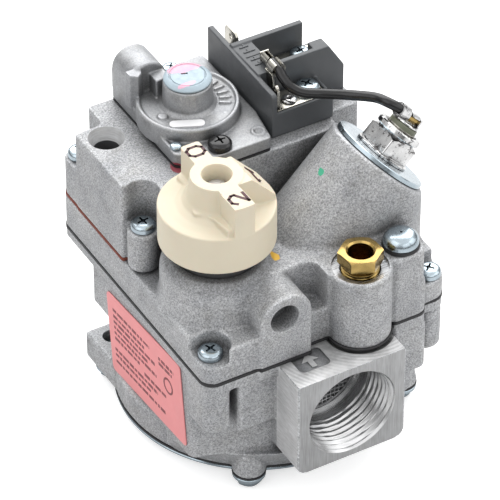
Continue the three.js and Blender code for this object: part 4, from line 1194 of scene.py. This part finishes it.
def lead_pieces():
    route = [
        (11.5, 8.6, 52.5),
        (11.5, 5.2, 52.4),
        (11.6, 3.0, 51.0),
        (12.6, 0.4, 49.2),
        (15.2, -1.6, 47.9),
        (20.0, -3.9, 47.2),
        (25.6, -8.1, 47.4),
        (29.6, -13.4, 48.6),
        (31.2, -17.2, 48.9),
        SLOPE @ Vector((-4.2, 0.8, 13.9)),
        SLOPE @ Vector((-2.4, 0.4, 13.7)),
    ]
    lead = swept(smooth_route([Vector(p) for p in route], 18), 1.38, 32)
    shown(lead, [LEAD], "safety_lead", "black_rubber", ["magnet_lead"], angle=60)
    wire_way = (0, 1, 0.04)
    blade = [[8.6, 51.3], [5.0, 51.3], [4.2, 46.4, 0.4], [5.2, 44.6, 0.3], [7.0, 44.8, 0.4]]
    parts = [
        clamp(aimed((11.5, 4.9, 52.3), wire_way, 90), 1.45, 2.05, 3.1, 0.35),
        clamp(aimed((11.5, 8.9, 52.3), wire_way, 90), 1.2, 1.75, 3.2, 0.4, 0.8),
        box(10.5, 12.5, 6.5, 12.9, 50.75, 51.2, 0.12),
        prism_x(blade, 9.45, 10.0, 0.12),
        box(9.6, 11.3, 6.0, 8.3, 50.8, 51.3, 0.12),
        box(10.2, 12.8, 12.2, 12.7, 50.8, 53.7, 0.12),
    ]
    shown(merged(parts), [NICKEL], "lead_flag_terminal", "nickel", ["lead_clip_block"], angle=30)
    strand_end = SLOPE @ aimed((-0.6, 0.2, 13.3), (1, 0, 0), 180)
    parts = [
        on_slope(ring_profile(2.2, 3.9, 11.6, 12.2, 0.15), 64),
        box(-4.6, 4.4, -1.3, 1.3, 11.7, 12.3, 0.12, SLOPE),
        clamp(SLOPE @ aimed((-4.6, 0.6, 13.7), (1, 0, 0)), 1.5, 2.05, 3.2, 0.3),
        clamp(strand_end, 1.1, 1.7, 3.4, 0.5),
        box(3.0, 3.6, -1.6, 1.6, 12.0, 14.6, 0.15, SLOPE),
    ]
    whole, pick = marked(merged(parts), [bar(1.15, -0.2, 4.2, matrix=strand_end, count=24)])
    metals = [BRIGHT_NICKEL, BRASS]
    shown(whole, metals, "lead_ring_terminal", "nickel", ["lead_clip_magnet"], angle=30, pick=pick)


# ---- strainer and label
def strainer():
    """Woven wire disc in a flat rim, across the inlet's bore."""
    radius, pitch, wire, y, weave = 11.6, 1.25, 0.2, -37.0, 0.12
    wires = []
    count = int(radius / pitch)
    for k in range(-count, count + 1):
        offset = k * pitch
        half = math.sqrt(radius * radius - offset * offset)
        upright, level = [], []
        for t in (-1, -0.5, 0, 0.5, 1):
            wave = weave * math.cos(t * 18)
            upright.append(Vector((PORT_X + offset, y + wave, PORT_Z + t * half)))
            level.append(Vector((PORT_X + t * half, y - wave, PORT_Z + offset)))
        wires += [swept(upright, wire, 6), swept(level, wire, 6)]
    place = moved(PORT_X, y, PORT_Z) @ ALONG_Y
    rim = turned(ring_profile(10.9, 11.9, -0.3, 0.3, 0.1), count=96, matrix=place)
    shown(merged(wires + [rim]), [STEEL], "inlet_strainer", "steel", ["inlet_screen"])


def label():
    """Label film with broken lines in place of wording, and a plain ring."""
    outline = [[11.5, -6.3, 1.6], [-28.3, -3.2, 1.2], [-31.4, -28.9, 1.2], [8.7, -31.9, 1.6]]
    sheet = prism_x(outline, -37.36, -37.1)
    ink = (-37.4, -37.3)
    origin, across, foot = [Vector(outline[k][:2]) for k in (0, 1, 3)]
    along, down = (across - origin).normalized(), (foot - origin).normalized()
    rows = [(4.6, 3.0, 23.0), (6.6, 3.0, 20.0), (8.4, 3.0, 25.5), (10.2, 3.0, 21.5), (12.0, 3.0, 26.0)]
    rows += [(13.8, 3.0, 17.0), (17.6, 2.6, 26.0), (19.4, 2.6, 22.0), (21.6, 2.6, 30.0)]
    rows += [(4.8, 28.0, 36.0), (6.4, 28.0, 35.0), (15.6, 19.0, 31.0)]
    marks = []
    for depth, at, stop in rows:
        while at < stop:
            length = random.uniform(0.9, 3.2)
            a = origin + along * at + down * depth
            b = origin + along * min(at + length, stop) + down * depth
            side = down * random.uniform(0.36, 0.5)
            corners = [a - side, b - side, b + side, a + side]
            marks.append(prism_x([[c.x, c.y] for c in corners], *ink))
            at += length + 0.55
    spot = origin + along * 32.5 + down * 11.0
    place = moved(-37.42, spot.x, spot.y) @ ALONG_X
    marks.append(turned(ring_profile(1.9, 2.5, 0, 0.1, 0.02), count=48, matrix=place))
    whole, pick = marked(sheet, marks)
    shown(whole, [LABEL, LABEL_INK], "plain_rating_label", "label_film", ["rating_label"], pick=pick)


# ---- springs
def spring(name, r, wire, low, high, turns, x, y, joint, fixed, keep):
    """Coil spring wound round an upright axis from low to high; joint and fixed are not used."""
    steps = round(turns * 24)
    low, high = low + wire, high - wire
    route = []
    for k in range(steps + 1):
        share = k / steps
        turn = 2 * math.pi * turns * share
        route.append(Vector((x + r * math.cos(turn), y + r * math.sin(turn), low + (high - low) * share)))
    coil = swept(route, wire, 8)
    shown(coil, [STEEL], name + "_wire", "steel", [name])
    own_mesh(coil)


def springs():
    spring("cock_spring", 4.3, 0.45, 12.6, 21.0, 3.5, *COCK, "knob_push", 12.6, 0.5)
    spring("main_spring", 6.5, 0.45, 2.9, 9.1, 2.5, 0, 0, "main_valve_lift", 9.1, 0.56)
    spring("regulator_spring", 3.4, 0.4, 38.7, 45.8, 5, *REGULATOR, "regulator_travel", 45.8, 0.9)


# ---- carried-over CAD pieces
def carried(material, *names):
    for name in names:
        paint(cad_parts[name], [material])


lower_casting()
upper_casting()
regulator_casting()
regulator_cover()
knob_parts()
screws()
bottom_pan()
gaskets()
pilot_pieces()
regulator_cap_piece()
magnet_pieces()
wiring_block()
plates()
lead_pieces()
strainer()
label()
springs()
# the metal cock bonnet, in shade under the knob, is painted near black as painted shade
carried(SHADE_BLACK, "cock_bonnet")
carried(STEEL, "regulator_plate", "main_valve", "diaphragm_plate", "cock_stem", "reset_lever")
carried(STEEL, "lever_pin", "safety_valve", "safety_spring", "operator_flapper")
carried(BRASS, "regulator_adjuster", "cock_plug", "pilot_adjuster", "operator_coil")


# ---- floor, lights and camera
def stage():
    bm = bmesh.new()
    half, drop = 3.0, 0.0005
    bm.faces.new([bm.verts.new((a * half, b * half, -drop)) for a, b in ((-1, -1), (1, -1), (1, 1), (-1, 1))])
    floor = made("floor", bm)
    s = Shader("pale_floor")
    s.into("Base Color", s.ramp(s.noise(3, 2), (0.3, 0.64), (0.7, 0.66)))
    preset(s.bsdf, Roughness=0.9, Emission_Color=(1, 1, 1, 1))
    ray = s.node("LightPath")
    s.into("Emission Strength", s.math("MULTIPLY", ray.outputs["Is Camera Ray"], 0.6))
    paint(floor, [s.material])


def area_light(name, place, size, power):
    """Soft light aimed at the middle of the valve."""
    light = bpy.data.lights.new(name, "AREA")
    light.shape = "RECTANGLE"
    light.size, light.size_y = size
    light.energy = power
    obj = in_scene(name, light)
    obj.location = place
    obj.rotation_euler = (Vector((0, 0, 0.05)) - Vector(place)).to_track_quat("-Z", "Y").to_euler()


def lights():
    area_light("key", (-0.75, -0.15, 0.75), (0.9, 0.9), 2.4)
    area_light("front", (0.1, -1.1, 0.75), (1.0, 0.7), 1.9)
    area_light("right", (0.95, -0.55, 0.7), (0.9, 0.9), 3.2)
    area_light("back", (0.4, 0.8, 0.85), (1.8, 1.2), 19)
    world = bpy.data.worlds.new("studio")
    bpy.context.scene.world = world
    world.use_nodes = True
    nodes, links = world.node_tree.nodes, world.node_tree.links
    direction = nodes.new("ShaderNodeTexCoord")
    split = nodes.new("ShaderNodeSeparateXYZ")
    sky = nodes.new("ShaderNodeValToRGB")
    set_stops(sky, ((0.05, 0.2), (0.45, 0.8), (0.9, 1.6)))
    links.new(direction.outputs["Generated"], split.inputs["Vector"])
    links.new(split.outputs["Z"], sky.inputs["Fac"])
    links.new(sky.outputs["Color"], nodes["Background"].inputs["Color"])
    nodes["Background"].inputs["Strength"].default_value = 0.82


def camera():
    azimuth, elevation, distance, lens = math.radians(-30), math.radians(39.8), 1.062, 288
    level = math.cos(elevation)
    back = Vector((math.sin(azimuth) * level, -math.cos(azimuth) * level, math.sin(elevation)))
    data = bpy.data.cameras.new("camera")
    data.sensor_width = 36
    data.lens = lens
    obj = in_scene("camera", data)
    obj.location = PLACE + back * distance
    obj.rotation_euler = back.to_track_quat("Z", "Y").to_euler()
    bpy.context.scene.camera = obj


stage()
lights()
camera()
bpy.context.scene.view_settings.view_transform = "Standard"
